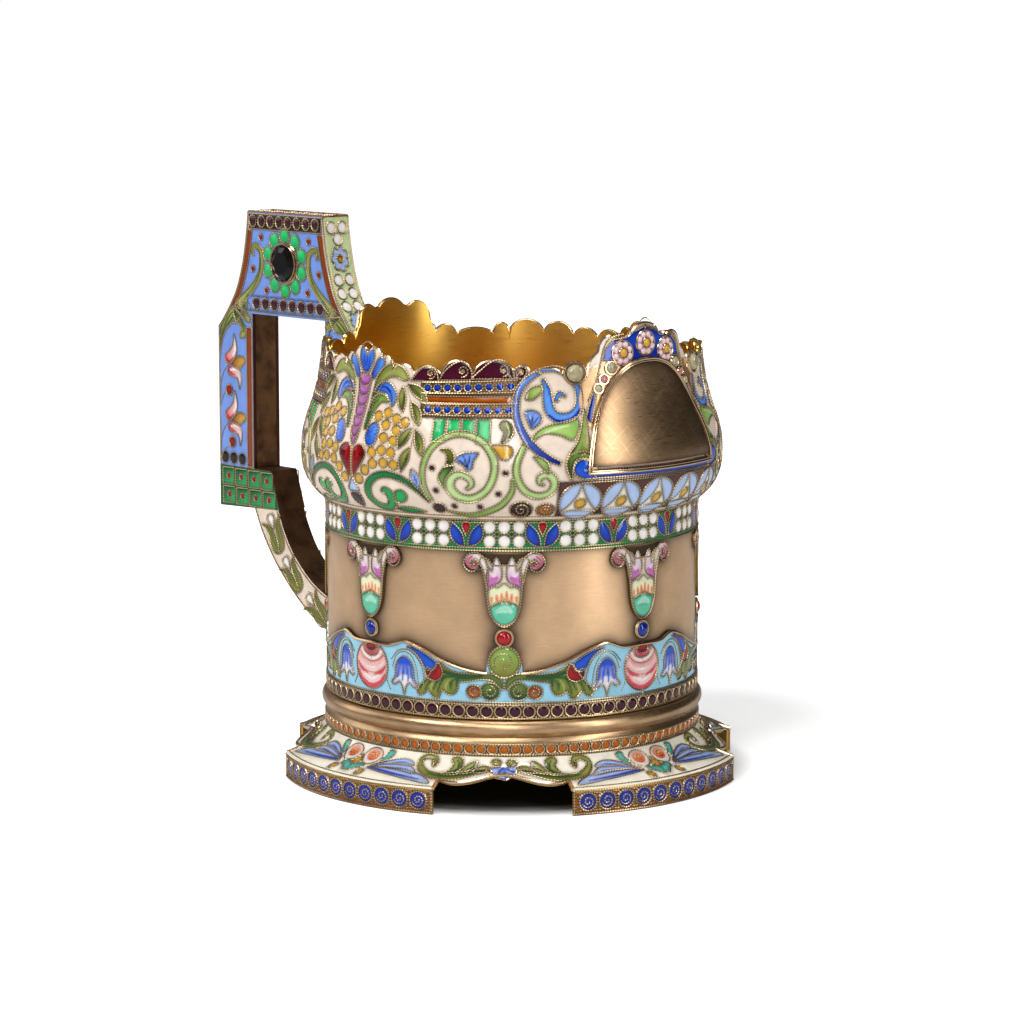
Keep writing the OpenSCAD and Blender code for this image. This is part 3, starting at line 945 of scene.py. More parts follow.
class Nodes:
    """The shader nodes of one material, or of the world."""

    def __init__(self, owner: bpy.types.Material | bpy.types.World, output: str = "OutputMaterial") -> None:
        """Starts with no nodes but the output.

        Args:
            owner: The material or world.
            output: The kind of its output node.
        """
        self.owner = owner
        owner.use_nodes = True
        self.tree = owner.node_tree
        self.tree.nodes.clear()
        self.output = self.tree.nodes.new("ShaderNode" + output)

    def add(self, kind: str, settings: dict[str, object] | None = None, **inputs: object) -> bpy.types.Node:
        """A node of some kind.  An input that is given a socket is joined to it.

        Args:
            kind: The node's type, without its first words.
            settings: Its own settings.
            inputs: Its inputs by name, or by number after an underscore.

        Returns:
            The node.
        """
        node = self.tree.nodes.new("ShaderNode" + kind)
        for key, value in (settings or {}).items():
            setattr(node, key, value)
        for key, value in inputs.items():
            socket = node.inputs[int(key[1:])] if key[1:].isdigit() else node.inputs[key.replace("_", " ")]
            if isinstance(value, bpy.types.NodeSocket):
                self.tree.links.new(value, socket)
            else:
                socket.default_value = value
        return node

    def noise(self, scale: float, detail: float = 3.0, stretch: tuple[float, float, float] = (1, 1, 1),
              rough: float = 0.55) -> bpy.types.NodeSocket:
        """Noise on Object coordinates, in marks per metre.

        Args:
            scale: Marks per metre.
            detail: Octaves.
            stretch: Scale along each axis.
            rough: How strong the fine octaves are.

        Returns:
            The noise.
        """
        where = self.add("TexCoord").outputs["Object"]
        if stretch != (1, 1, 1):
            where = self.add("Mapping", None, Vector=where, Scale=stretch).outputs["Vector"]
        return self.add("TexNoise", None, Vector=where, Scale=scale, Detail=detail,
                        Roughness=rough).outputs["Fac"]

    def ramp(self, source: bpy.types.NodeSocket, low: float, high: float,
             into: tuple[float, float] = (0.0, 1.0)) -> bpy.types.NodeSocket:
        """The source stretched from one range to another, and held at its ends.

        Args:
            source: The value.
            low: The start of its range.
            high: The end of it.
            into: The range it becomes.

        Returns:
            The new value.
        """
        node = self.add("MapRange", None, Value=source)
        for key, value in zip(("From Min", "From Max", "To Min", "To Max"), (low, high, *into)):
            node.inputs[key].default_value = value
        return node.outputs["Result"]

    def mix(self, share: object, a: object, b: object, how: str = "MIX") -> bpy.types.NodeSocket:
        """Two colours mixed."""
        node = self.add("Mix", {"data_type": "RGBA", "blend_type": how}, _0=share, _6=a, _7=b)
        return node.outputs[2]

    def math(self, how: str, a: object, b: object) -> bpy.types.NodeSocket:
        """Two numbers worked into one."""
        return self.add("Math", {"operation": how}, _0=a, _1=b).outputs[0]

    def bump(self, height: bpy.types.NodeSocket, strength: float, depth: float) -> bpy.types.NodeSocket:
        """A relief of some depth in metres."""
        return self.add("Bump", None, Height=height, Strength=strength, Distance=depth).outputs["Normal"]

    def finish(self, **inputs: object) -> bpy.types.Material:
        """Ends in one principled shader."""
        self.end(self.add("BsdfPrincipled", None, **inputs).outputs[0])
        return self.owner

    def end(self, shader: bpy.types.NodeSocket) -> None:
        """Joins a shader to the output."""
        self.tree.links.new(shader, self.output.inputs[0])


def rgba(tone: Tone, factor: float = 1.0) -> tuple[float, float, float, float]:
    """A tone for a colour socket."""
    r, g, b = tone.light * factor
    return (float(r), float(g), float(b), 1.0)


@dataclass(frozen=True)
class EnamelFinish:
    """Fired enamel and the bare metal between, told apart by the mesh's own attributes."""

    name: str = "fired_enamel"
    enamel_rough: float = 0.07
    metal_rough: float = 0.36

    def material(self) -> bpy.types.Material:
        """Colour and metal share from the mesh; clouds, pits and a slight swell on top.

        Returns:
            The material.
        """
        n = Nodes(bpy.data.materials.new(self.name))
        tint = n.add("Attribute", {"attribute_name": "tint"}).outputs["Color"]
        metal = n.add("Attribute", {"attribute_name": "metal"}).outputs["Fac"]
        clouds = n.ramp(n.noise(420, 4), 0.3, 0.7, (0.9, 1.06))
        specks = n.ramp(n.noise(5200, 2), 0.28, 0.4, (0.86, 1.0))
        colour = n.mix(1.0, tint, n.math("MULTIPLY", clouds, specks), "MULTIPLY")
        grain = n.noise(2600, 3)
        rough_enamel = n.ramp(n.noise(900, 3), 0.35, 0.75, (self.enamel_rough, self.enamel_rough + 0.07))
        rough_metal = n.ramp(grain, 0.3, 0.7, (self.metal_rough - 0.06, self.metal_rough + 0.12))
        rough = n.add("Mix", {"data_type": "FLOAT"}, _0=metal, _2=rough_enamel, _3=rough_metal).outputs[0]
        swell = n.math("ADD", n.noise(700, 2), n.math("MULTIPLY", grain, n.math("MULTIPLY", metal, 0.35)))
        return n.finish(Base_Color=colour, Metallic=metal, Roughness=rough, IOR=1.42,
                        Normal=n.bump(swell, 0.35, 0.0001))


@dataclass(frozen=True)
class MetalFinish:
    """A gilding: its tone, the tone of its dull patches, and its marks."""

    name: str
    tone: Tone
    dull: Tone
    rough: float = 0.3
    dullness: float = 0.35
    scale: float = 300.0
    stretch: tuple[float, float, float] = (1.0, 1.0, 1.0)
    relief: float = 0.3
    depth: float = 0.00006
    brushed: float = 0.0

    def material(self) -> bpy.types.Material:
        """Dull patches by slow noise; marks by fast noise, stretched along the way it was worked.

        Returns:
            The material.
        """
        n = Nodes(bpy.data.materials.new(self.name))
        patches = n.ramp(n.noise(self.scale, 4), 0.42, 0.75, (0.0, self.dullness))
        colour = n.mix(patches, rgba(self.tone), rgba(self.dull))
        marks = n.noise(self.scale * 4, 4, self.stretch, 0.7)
        rough = n.ramp(marks, 0.25, 0.75, (self.rough - 0.07, self.rough + 0.12))
        return n.finish(Base_Color=colour, Metallic=1.0, Roughness=rough, Anisotropic=self.brushed,
                        Anisotropic_Rotation=0.25, Normal=n.bump(marks, self.relief, self.depth))


@dataclass(frozen=True)
class FieldFinish:
    """Gilding whose dull parts come from the mesh's own colour."""

    name: str = "field_gilding"
    rough: float = 0.36
    stretch: float = 14.0
    scratches: float = 0.0
    relief: float = 0.2

    def material(self) -> bpy.types.Material:
        """Brushed round the wall, with a faint cloud and, where it is worn, fine crossing scratches.

        Returns:
            The material.
        """
        n = Nodes(bpy.data.materials.new(self.name))
        tint = n.add("Attribute", {"attribute_name": "tint"}).outputs["Color"]
        clouds = n.ramp(n.noise(150, 5), 0.3, 0.7, (0.86, 1.04))
        if self.scratches:
            for turn in (0.6, -0.9, 2.1):
                where = n.add("Mapping", {"vector_type": "TEXTURE"},
                              Vector=n.add("TexCoord").outputs["Object"], Rotation=(turn, 0, 0),
                              Scale=(5, 28, 1)).outputs["Vector"]
                line = n.add("TexNoise", None, Vector=where, Scale=2600, Detail=1.0).outputs["Fac"]
                clouds = n.math("ADD", clouds, n.ramp(line, 0.6, 0.72, (0.0, self.scratches)))
        marks = n.noise(420, 4, (1, 1, self.stretch), 0.7)
        clouds = n.math("MULTIPLY", clouds, n.ramp(marks, 0.3, 0.7, (0.97 if self.scratches else 0.9, 1.05)))
        return n.finish(Base_Color=n.mix(1.0, tint, clouds, "MULTIPLY"), Metallic=1.0,
                        Roughness=n.ramp(marks, 0.25, 0.75, (self.rough - 0.06, self.rough + 0.1)),
                        Normal=n.bump(marks, self.relief, 0.00004))


@dataclass(frozen=True)
class StoneFinish:
    """A polished stone: its tone, and how clear it is."""

    name: str
    tone: Tone
    clear: float = 0.0
    index: float = 1.55

    def material(self) -> bpy.types.Material:
        """Deeper and paler clouds in a glassy body.

        Returns:
            The material.
        """
        n = Nodes(bpy.data.materials.new(self.name))
        colour = n.mix(n.ramp(n.noise(600, 2), 0.35, 0.7), rgba(self.tone), rgba(self.tone, 0.55))
        return n.finish(Base_Color=colour, Roughness=0.05, IOR=self.index, Transmission_Weight=self.clear)


class Finish(Enum):
    """Every finish on the holder."""

    ENAMEL = EnamelFinish()
    WIRE = FieldFinish("beaded_wire", 0.36, 1.0)
    BRIGHT = MetalFinish("bright_gilding", Tone.BRIGHT, Tone.OCHRE, 0.3, 0.14, 60, (1, 1, 34), 0.1, 0.00006,
                         0.85)
    SATIN = MetalFinish("satin_gilding", Tone.WORN_GILT, Tone.GILT_DARK, 0.3, 0.4, 120, (1, 1, 12), 0.15)
    POLISHED = MetalFinish("polished_gilding", Tone.GILT, Tone.GILT_DARK, 0.16, 0.35, 90, (1, 1, 12), 0.15)
    BRONZE = MetalFinish("dark_bronze", Tone.BRONZE, Tone.BROWN, 0.42, 0.8, 260, (1, 1, 5), 0.5)
    BLUE_STONE = StoneFinish("blue_stone", Tone.COBALT)
    RED_STONE = StoneFinish("red_stone", Tone.RED)
    BLACK_STONE = StoneFinish("black_stone", Tone.BLACK, 0.0, 1.36)
    CLEAR_STONE = StoneFinish("clear_stone", Tone.CRYSTAL, 0.2, 1.7)
    PINK_STONE = StoneFinish("pink_stone", Tone.ROSE, 0.3)
    FIELD = FieldFinish()
    PLAQUE = FieldFinish("scratched_gilding", 0.3, 14.0, 0.2, 0.02)


# Bench


@dataclass
class Bench:
    """Puts pieces into the scene and keeps the materials."""

    nodes: dict[str, bpy.types.Object]
    made: dict[str, bpy.types.Material] = field(default_factory=dict)

    def material(self, finish: Finish) -> bpy.types.Material:
        """The material of a finish, made once.

        Args:
            finish: The finish.

        Returns:
            Its material.
        """
        if finish.name not in self.made:
            self.made[finish.name] = finish.value.material()
        return self.made[finish.name]

    def place(self, name: str, shape: Shape, finish: Finish, slot: str, *nodes: str,
              sharp: float = 40.0) -> bpy.types.Object:
        """Makes an object of a shape, on the holder's one body.

        Args:
            name: The piece's name.
            shape: Its mesh.
            finish: What it is made of.
            slot: The record's material slot; not used.
            nodes: The frame's nodes that it stands for.
            sharp: The angle over which an edge is a crease.

        Returns:
            The object.
        """
        mesh = bpy.data.meshes.new(name)
        sizes = np.concatenate([np.full(len(f), f.shape[1]) for f in shape.faces])
        loops = np.concatenate([f.ravel() for f in shape.faces]).astype(np.int32)
        mesh.vertices.add(len(shape.points))
        mesh.vertices.foreach_set("co", (shape.points * MM).astype(np.float32).ravel())
        mesh.loops.add(len(loops))
        mesh.loops.foreach_set("vertex_index", loops)
        mesh.polygons.add(len(sizes))
        mesh.polygons.foreach_set("loop_start", np.concatenate([[0], np.cumsum(sizes)[:-1]]).astype(np.int32))
        mesh.update(calc_edges=True)
        tint = mesh.attributes.new("tint", "FLOAT_COLOR", "POINT")
        tint.data.foreach_set("color", np.hstack([shape.tint, np.ones((len(shape.tint), 1))]).astype(
            np.float32).ravel())
        metal = mesh.attributes.new("metal", "FLOAT", "POINT")
        metal.data.foreach_set("value", shape.metal.astype(np.float32))
        mesh.polygons.foreach_set("use_smooth", np.ones(len(sizes), bool))
        mesh.set_sharp_from_angle(angle=math.radians(sharp))
        mesh.validate()
        mesh.materials.append(self.material(finish))
        piece = bpy.data.objects.new(name, mesh)
        bpy.context.collection.objects.link(piece)
        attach(piece, "root")
        if nodes:
            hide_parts(*nodes)
        LOG.info("%s: %d triangles", name, shape.triangles)
        return piece

    def dress(self, finish: Finish, *nodes: str) -> None:
        """Gives the frame's own nodes a finish.

        Args:
            finish: The finish.
            nodes: The nodes' names.
        """
        for node in nodes:
            mesh = self.nodes[node].data
            mesh.materials.clear()
            mesh.materials.append(self.material(finish))


def poly(*points: tuple[float, float]) -> Array:
    """A straight-edged outline."""
    return np.asarray(points, float)


def strip(a: tuple[float, float], b: tuple[float, float], low: float, high: float | None = None) -> Array:
    """A four-cornered strip over the line from a to b, as high as low and then as high as high."""
    return poly(a, b, (b[0], b[1] + (low if high is None else high)), (a[0], a[1] + low))


def run(first: float, last: float, step: float) -> Array:
    """Even numbers from first to last, near some step apart."""
    return np.linspace(first, last, max(2, int(abs(last - first) / step) + 1))


def level(first: float, last: float, height: float | Array, step: float = 0.3) -> Array:
    """A line along u at some height."""
    u = run(first, last, step)
    return np.stack([u, np.broadcast_to(height, u.shape)], -1)


def lathe(outline: Line, tone: Tone, cols: int = 240) -> Shape:
    """A closed outline of radius and height, turned about the cup's axis.

    Args:
        outline: Radius and height at each corner.
        tone: Its tone.
        cols: How many steps go round.

    Returns:
        The ring.
    """
    p = np.asarray(outline, float)
    a = np.arange(cols) / cols * 2 * np.pi
    points = np.stack([p[:, :1] * np.cos(a), p[:, :1] * np.sin(a), np.repeat(p[:, 1:], cols, 1)], -1)
    faces = quads(len(p), cols, True, True)
    x, y = p.T
    if (x * np.roll(y, -1) - np.roll(x, -1) * y).sum() < 0:
        faces = faces[:, ::-1]
    return Shape.plain(points.reshape(-1, 3), [faces], tone)


def wire_ring(face: Face, u: float, v: float, r: float, lift: float, radius: float = 0.2) -> Shape:
    """A smooth wire ring on a face.

    Args:
        face: The face it lies on.
        u: Its centre along the face.
        v: Its centre up the face.
        r: Its radius.
        lift: How far it stands out.
        radius: The wire's radius.

    Returns:
        The ring.
    """
    p = oval(u, v, r, n=26)
    points, normal = face.raised(p[:, 0], p[:, 1], lift)
    return tube(points, normal, True, np.full(len(p), radius), 6, Tone.SILVER_GILT)


def round_wall(r: float, low: float, high: float) -> Profile:
    """The profile of an upright round wall, for a turned face."""
    return ((low, r, low), (high, r, high))


# Collar

SLEEVE_R = 36.5
SEAM_Z = 54.9
COLLAR_H = 36.5
EIGHTH = math.radians(45) * SLEEVE_R
COLLAR_SHARES = ((0.11, 0), (0.3, 0.025), (0.62, 0.07), (0.86, 0.13), (0.97, 0.19), (1, 0.26), (0.96, 0.34),
                 (0.78, 0.44), (0.5, 0.55), (0.32, 0.65), (0.2, 0.76), (0.13, 0.87), (0.1, 1))
LOBES = ((-20.5, 20.5, 0.76, 0.945), (-6.5, 6.5, 0.9, 1), (-16.5, -9, 0.88, 0.945), (9, 16.5, 0.88, 0.945),
         (21, 28, 0.75, 0.812), (28, 37.5, 0.75, 0.79), (37.5, 42, 0.75, 0.807), (42, 53.7, 0.75, 0.832),
         (53.7, 63.3, 0.74, 0.826), (63.3, 72, 0.735, 0.79), (72, 80, 0.735, 0.795), (80, 84.5, 0.77, 0.83),
         (83.5, 90.5, 0.77, 0.868), (89.5, 96.5, 0.77, 0.868), (95.5, 100, 0.77, 0.83),
         (100, 108.7, 0.735, 0.81), (108.7, 117.2, 0.745, 0.817), (117.2, 127, 0.76, 0.846),
         (127, 138, 0.775, 0.857), (138, 143.1, 0.77, 0.838), (143.1, 155.4, 0.765, 0.812),
         (155.4, 163, 0.765, 0.835), (163, 197, 0.78, 0.965), (174.5, 185.5, 0.93, 1),
         (165, 174.5, 0.88, 0.975))


def rim_z(degrees: Array) -> Array:
    """The rim's height at an angle: the highest of its lobes, each of them half an ellipse.

    Args:
        degrees: The angles from the plaque's middle.

    Returns:
        The heights.
    """
    turn = np.abs((np.asarray(degrees) + 180) % 360 - 180)
    best = np.full(turn.shape, 0.735)
    for first, last, low, top in LOBES:
        for a in (turn, -turn, 360 - turn):
            t = (2 * a - first - last) / (last - first)
            lobe = low + (top - low) * np.sqrt(np.maximum(0, 1 - t * t))
            best = np.where(np.abs(t) < 1, np.maximum(best, lobe), best)
    return SEAM_Z + COLLAR_H * best


def collar_profile() -> Profile:
    """The collar's outer wall, by height."""
    line = smooth(COLLAR_SHARES, 6)
    return tuple((SEAM_Z + COLLAR_H * s, SLEEVE_R + 5 * b, SEAM_Z + COLLAR_H * s) for b, s in line)


@dataclass
class Collar:
    """The bulging collar.  Half of it is drawn, from the handle round to the plaque, and mirrored."""

    bench: Bench
    wall: float = 0.9
    low: float = 55.0
    lining_low: float = 55.2

    def build(self) -> None:
        """Draws the half, then makes the sheet, its wires, its rim and its bright inside."""
        face = Turned(SLEEVE_R, collar_profile(), -90)
        half = 2 * EIGHTH
        canvas = Canvas(face, Paint(Tone.CREAM), 0.5, 0.0, limits=(-half, half))
        u = run(-half, half, FINE)
        top = rim_z(-90 + np.degrees(u / SLEEVE_R))
        canvas.patch(np.stack([u, 0 * u + self.low], -1), np.stack([u, top - 0.25], -1), self.edge(face))
        canvas.mottle(0.03)
        for side in (1, -1):
            self.panel(canvas.pen(side * EIGHTH, flip=side < 0))
        self.palmette(canvas.pen())
        self.cartouche(canvas.pen(half))
        self.circles(canvas.pen(half))
        self.handle_side(canvas.pen(-half))
        self.circles(canvas.pen(-half))
        for z, r in ((55.2, 0.17), (55.9, 0.14)):
            canvas.pen().line(level(-half, half, z), r)
        sheet, wires = canvas.sheet(), canvas.wiring()
        rim, n = face.raised(u, top - 0.1, -0.3)
        smooth_rim = tube(rim, n, False, np.full(len(u), 0.34), 8, Tone.SILVER_GILT)
        self.bench.place("collar_left", sheet, Finish.ENAMEL, "collar_enamel", "collar")
        self.bench.place("collar_right", sheet.mirrored(), Finish.ENAMEL, "collar_enamel", "collar")
        for name, shape in (("left", wires), ("right", wires.mirrored())):
            self.bench.place("collar_wires_" + name, shape, Finish.WIRE, "silver_gilt")
        self.bench.place("collar_rim", Shape.joined([smooth_rim, smooth_rim.mirrored()]), Finish.POLISHED,
                         "silver_gilt")
        self.lining(face)

    @staticmethod
    def edge(face: Face) -> Back:
        """The rounded upper edge of the sheet, and its lower edge.

        Args:
            face: The collar's outer face.

        Returns:
            What gives the rows behind the sheet.
        """
        def back(high: Array, low: Array) -> list[Array]:
            """The rows from the upper edge over its rounding and down the inside.

            Args:
                high: The sheet's upper edge.
                low: Its lower edge.

            Returns:
                The rows' points.
            """
            top = [face.raised(high[:, 0], high[:, 1] + dv, h)[0] for dv, h in ((0.2, -0.12), (0.22, -0.45))]
            lines = (high[:, 1] * (1 - s) + low[:, 1] * s for s in np.linspace(0.04, 1, 14))
            return top + [face.raised(high[:, 0], v, -0.46)[0] for v in lines]
        return back

    def lining(self, face: Turned) -> None:
        """The bright inside of the collar, from its rim down to the sleeve.

        Args:
            face: The collar's outer face.
        """
        whole = Turned(SLEEVE_R, face.profile, 0)
        a = np.radians(np.arange(-180, 180, 0.75))
        u, rows = a * SLEEVE_R, np.linspace(0, 1, 22)[:, None]
        top = rim_z(np.degrees(a)) + 0.05
        v = self.lining_low + (top - self.lining_low) * rows
        inner, _ = whole.raised(np.broadcast_to(u, v.shape), v, -self.wall)
        outer, _ = whole.raised(np.broadcast_to(u, v.shape), v, -0.42)
        grid = np.concatenate([inner[::-1], outer])
        faces = [quads(len(grid), len(u), True, True)]
        self.bench.place("collar_lining", Shape.plain(grid.reshape(-1, 3), faces, Tone.BRIGHT), Finish.BRIGHT,
                         "bright_gilt")

    def panel(self, pen: Pen) -> None:
        """Between the palmette and the plaque: waves, friezes of dots and scrolls.

        Args:
            pen: A pen at the panel's middle.
        """
        pen.cell(poly((-15.6, 81.2), (3.2, 81.9), (2.6, 74.4), (-15.2, 74.2)), gilt(Tone.GILT_DARK), wire=0)
        self.waves(pen)
        for row, (left, right) in enumerate((((-15.3, 78.75), (2.4, 79.3)), ((-14.9, 74.85), (2.0, 74.95)))):
            tall = 2.0 if row == 0 else 1.95
            pen.cell(strip(left, right, tall, tall + 0.25), gilt(Tone.BRONZE, 0.02), wire=0)
            for edge in (0.0, tall):
                a, b = (left[0], left[1] + edge), (right[0], right[1] + edge * 1.12)
                pen.line(even(poly(a, b), 60), 0.17)
            for k in range(9):
                u = left[0] + 1.1 + k * (right[0] - left[0] - 1.6) / 8.35
                v = left[1] + tall / 2 + (right[1] - left[1]) * (k / 8) + 0.1 * k / 8
                pen.dot(u, v, 0.78, Tone.COBALT, Tone.BLUE, 0.17)
        pen.cell(poly((-15.2, 77.05), (2.3, 77.2), (2.4, 78.6), (-15.3, 78.3)), Tone.RUST, Tone.ORANGE, 0.15)
        for left, right, low in ((-12.4, -10.2, 70.1), (-9.8, -7.6, 71.5), (-7.2, -5.0, 71.9),
                                 (-4.6, -2.2, 69.9)):
            pen.cell(poly((left, 74.3), (left, low), (right, low - 0.1), (right, 74.3)), Tone.EMERALD,
                     Tone.JADE, 0.14)
        pen.cell(blob((-0.4, 70.1), (0.9, 70.6), (1.7, 72), (1.2, 73.6), (0, 74.2), (-0.7, 73.2), (0, 72),
                      (-0.2, 71)), Tone.OLIVE_DARK, Tone.OLIVE)
        pen.cell(blob((-2, 69.7), (-0.5, 69.8), (1.2, 69.5), (1.6, 68.3), (0.8, 67.1), (-0.4, 67.1),
                      (-1, 68.2), (-1.8, 69)), Tone.GOLD_ENAMEL)
        self.ring_scroll(pen)
        self.right_scrolls(pen)

    @staticmethod
    def waves(pen: Pen) -> None:
        """The dark waves along the rim, each with a curled crest.

        Args:
            pen: A pen at the panel's middle.
        """
        crests = ((((-17.8, 80.9), (-16.6, 82.4), (-15.2, 83.6), (-13.8, 83.8), (-12.7, 83), (-12.4, 82.2),
                    (-12.2, 81.1)), (-13.75, 82.45, 1.0)),
                  (((-12, 81.3), (-11, 83), (-9.5, 84.3), (-8, 84.9), (-6.9, 84.5), (-6.1, 83.5),
                    (-5.9, 82.6), (-5.8, 81.5)), (-7.6, 83.1, 1.15)),
                  (((-6, 81.7), (-4.3, 83.3), (-2.7, 84.7), (-1.2, 85.3), (0.2, 85), (1.2, 84), (1.6, 83),
                    (1.9, 81.8)), (0, 83.4, 1.2)),
                  (((1.8, 81.9), (1.7, 83.1), (2.6, 84), (3.7, 83.9), (4.1, 83), (3.4, 81.8)),
                   (3.0, 83.1, 0.6)))
        pen.cell(poly((-17.6, 81.2), (-16.6, 82.6), (-15.6, 84.6), (-12.8, 84.8), (-12.2, 82.4),
                      (-11.2, 84.0), (-9.0, 87), (-6.6, 86.6), (-6.0, 82.8), (-4.6, 84.2), (-2.0, 87.6),
                      (1.4, 86.6), (2.0, 84.0), (4.0, 85.6), (4.4, 81.8)), Paint(Tone.MAROON, None, 0, 0),
                 wire=0)
        for points, (u, v, r) in crests:
            pen.cell(smooth(points, 4), Tone.MAROON, Tone.PLUM, 0.17)
            pen.line(curl(u, v, r, 0.22, -100, 520), 0.16)
            pen.dot(u, v, 0.3, gilt(Tone.SILVER_GILT, 0.12), wire=0)

    @staticmethod
    def ring_scroll(pen: Pen) -> None:
        """The big ring scroll with a blue palmette in its middle, and the arc below it.

        Args:
            pen: A pen at the panel's middle.
        """
        pen.cell(band(((1.5, 63.4), (1.4, 61), (-0.4, 58.4), (-3.5, 56.7), (-6.5, 56.1), (-10, 56.9)),
                      (0.5, 0.9, 1.1, 1.1, 0.9, 0.4)), Tone.LIME, Tone.LEAF)
        pen.cell(band(((-12.5, 58.9), (-13.6, 62), (-13.6, 65.5), (-12.2, 69), (-9.5, 71.1), (-6.5, 71.6),
                       (-3.5, 70.2), (-1.7, 67.5), (-1.5, 64.5), (-2.8, 61.3), (-5.3, 59.6), (-7.6, 60),
                       (-8.9, 61.6), (-8.6, 63.4), (-7.2, 64.2), (-5.6, 63.4), (-5.3, 62.2), (-6.2, 61.4)),
                      (0.8, 0.9, 1, 1.1, 1.1, 1.2, 1.2, 1.2, 1.2, 1.3, 1.5, 1.7, 1.7, 1.5, 1.3, 1.1, 0.9,
                       0.5)), Tone.LIME, Tone.LIME_LIGHT)
        pen.cell(band(((-10.6, 68.7), (-9.2, 68.3), (-8.8, 67), (-9.3, 65.9)), (0.3, 1.2, 1.4, 0.7)),
                 Tone.OLIVE, Tone.OLIVE_DARK)
        pen.cell(band(((-9.8, 61.4), (-10.3, 63.2), (-9.5, 64.8), (-8.2, 65.6)), (0.3, 1.3, 1.5, 0.5)),
                 Tone.LEAF, Tone.FOREST)
        pen.cell(blob((-7.9, 67.3), (-6.9, 68.1), (-5.8, 68.3), (-4.1, 68.3), (-4.9, 66.7), (-5.1, 65.4),
                      (-6, 64.9), (-6.6, 65.8), (-7.6, 66.4)), Tone.PERIWINKLE)
        for path in (((-13.9, 63), (-13.7, 66), (-12.3, 69.3), (-9.5, 71.6), (-6.5, 72.1), (-3.2, 70.6),
                      (-1.3, 67.7)),
                     ((-1.05, 66.0), (-1.1, 64.2), (-2.4, 61.0), (-5.3, 59.1), (-8.0, 59.6)),
                     ((1.8, 63.0), (1.8, 60.8), (-0.2, 58.0), (-3.5, 56.3), (-6.5, 55.7))):
            pen.stroke(path, 0.34, Tone.LEAF)
        for end in ((-7.4, 67), (-6.6, 67.7), (-5.5, 67.8)):
            pen.stroke(((-5.9, 65.3), ((-5.9 + end[0]) / 2, (65.5 + end[1]) / 2), end), 0.3, Tone.NAVY)
        for u, v in ((-12, 65.2), (-11.4, 61), (-8.5, 58), (-4, 58), (-0.8, 60.6), (0.4, 64.6)):
            pen.dot(u, v, 0.52, Tone.MAROON, wire=0.1)
        pen.cell(oval(-11.3, 57.5, 1.2, 1.0), Tone.BROWN)
        for u, v, r, tone in ((3, 57.4, 2.0, Tone.BROWN), (7.2, 57.3, 1.6, Tone.OCHRE)):
            pen.cell(oval(u, v, r, r * 0.86), tone)
            pen.line(curl(u, v, r * 0.8, 0.2, 200, 640), 0.17)

    @staticmethod
    def right_scrolls(pen: Pen) -> None:
        """The light-green scroll, and the two blue ones beside the plaque.

        Args:
            pen: A pen at the panel's middle.
        """
        pen.cell(band(((3.6, 69.8), (2.4, 67), (2.2, 64.2), (3.4, 61.4), (5.6, 60.2), (7.7, 60.8),
                       (8.5, 62.6), (7.6, 64.1), (6.2, 63.9), (5.9, 62.8), (6.7, 62.2)),
                      (1.0, 1.2, 1.2, 1.3, 1.3, 1.2, 1.4, 1.5, 1.2, 0.8, 0.4)), Tone.LIME, Tone.LIME_LIGHT)
        pen.cell(leaf((7.4, 64.3), (4.9, 67.6), 1.4, -0.15), Tone.LEAF, Tone.LIME)
        pen.cell(smooth(((13.0, 74.6), (13.1, 72.2), (11.8, 70.4), (9.7, 71.3), (7, 71.7), (4.8, 70.3),
                         (5.4, 71.8), (7.3, 73.1), (10, 73.7), (12, 74.2)), 4, True), Tone.LEAF, Tone.LIME)
        pen.stroke(((6, 71.3), (8.5, 72.5), (11.5, 73.2)), 0.5, Tone.LIME_LIGHT)
        pen.cell(band(((9.5, 66.2), (7, 67.6), (4.5, 70), (2.8, 73), (2.1, 76.5), (2.8, 79.8), (4.8, 82),
                       (6.5, 82.9)), (0.8, 1.2, 1.4, 1.4, 1.3, 1.3, 1.2, 0.8)), Tone.COBALT, Tone.PERIWINKLE)
        pen.cell(band(((6.0, 83.2), (9.5, 83.5), (12, 82), (13.6, 79.5), (13.4, 76.5), (11.8, 74.8),
                       (9.5, 74.6), (8.2, 75.8), (7.8, 77.6), (7.6, 79.8), (7.0, 81.8)),
                      (0.8, 1.2, 1.3, 1.3, 1.4, 1.6, 1.9, 1.9, 1.8, 1.5, 0.5)), Tone.AZURE)
        pen.stroke(((12.6, 82.2), (14.0, 79.6), (13.8, 76.2), (11.9, 74.2), (9.4, 74.0), (7.8, 75.2)), 0.75,
                   Tone.COBALT)
        pen.stroke(((8.7, 76.6), (8.4, 78.6), (7.6, 81.0)), 0.5, Tone.BLUE)
        pen.cell(band(((9.2, 77.6), (10.0, 78.9), (11.2, 78.4)), (0.9, 1.1, 0.4)), Tone.AZURE)
        pen.cell(blob((3.8, 78), (4, 79.3), (5, 80.2), (6.6, 80.5), (6.9, 79.5), (6, 78.5), (5, 77.8)),
                 Tone.OLIVE, Tone.LIME)
        pen.cell(blob((3.6, 75.6), (4.8, 76.1), (6.4, 75.4), (6.6, 74), (5.4, 72.9), (4.7, 72.6),
                      (4.2, 73.6)), Tone.PERIWINKLE)
        for end in ((4.3, 75.3), (5.2, 75.4), (6, 74.7)):
            pen.stroke(((4.8, 73), ((4.8 + end[0]) / 2, (73.1 + end[1]) / 2), end), 0.26, Tone.NAVY)

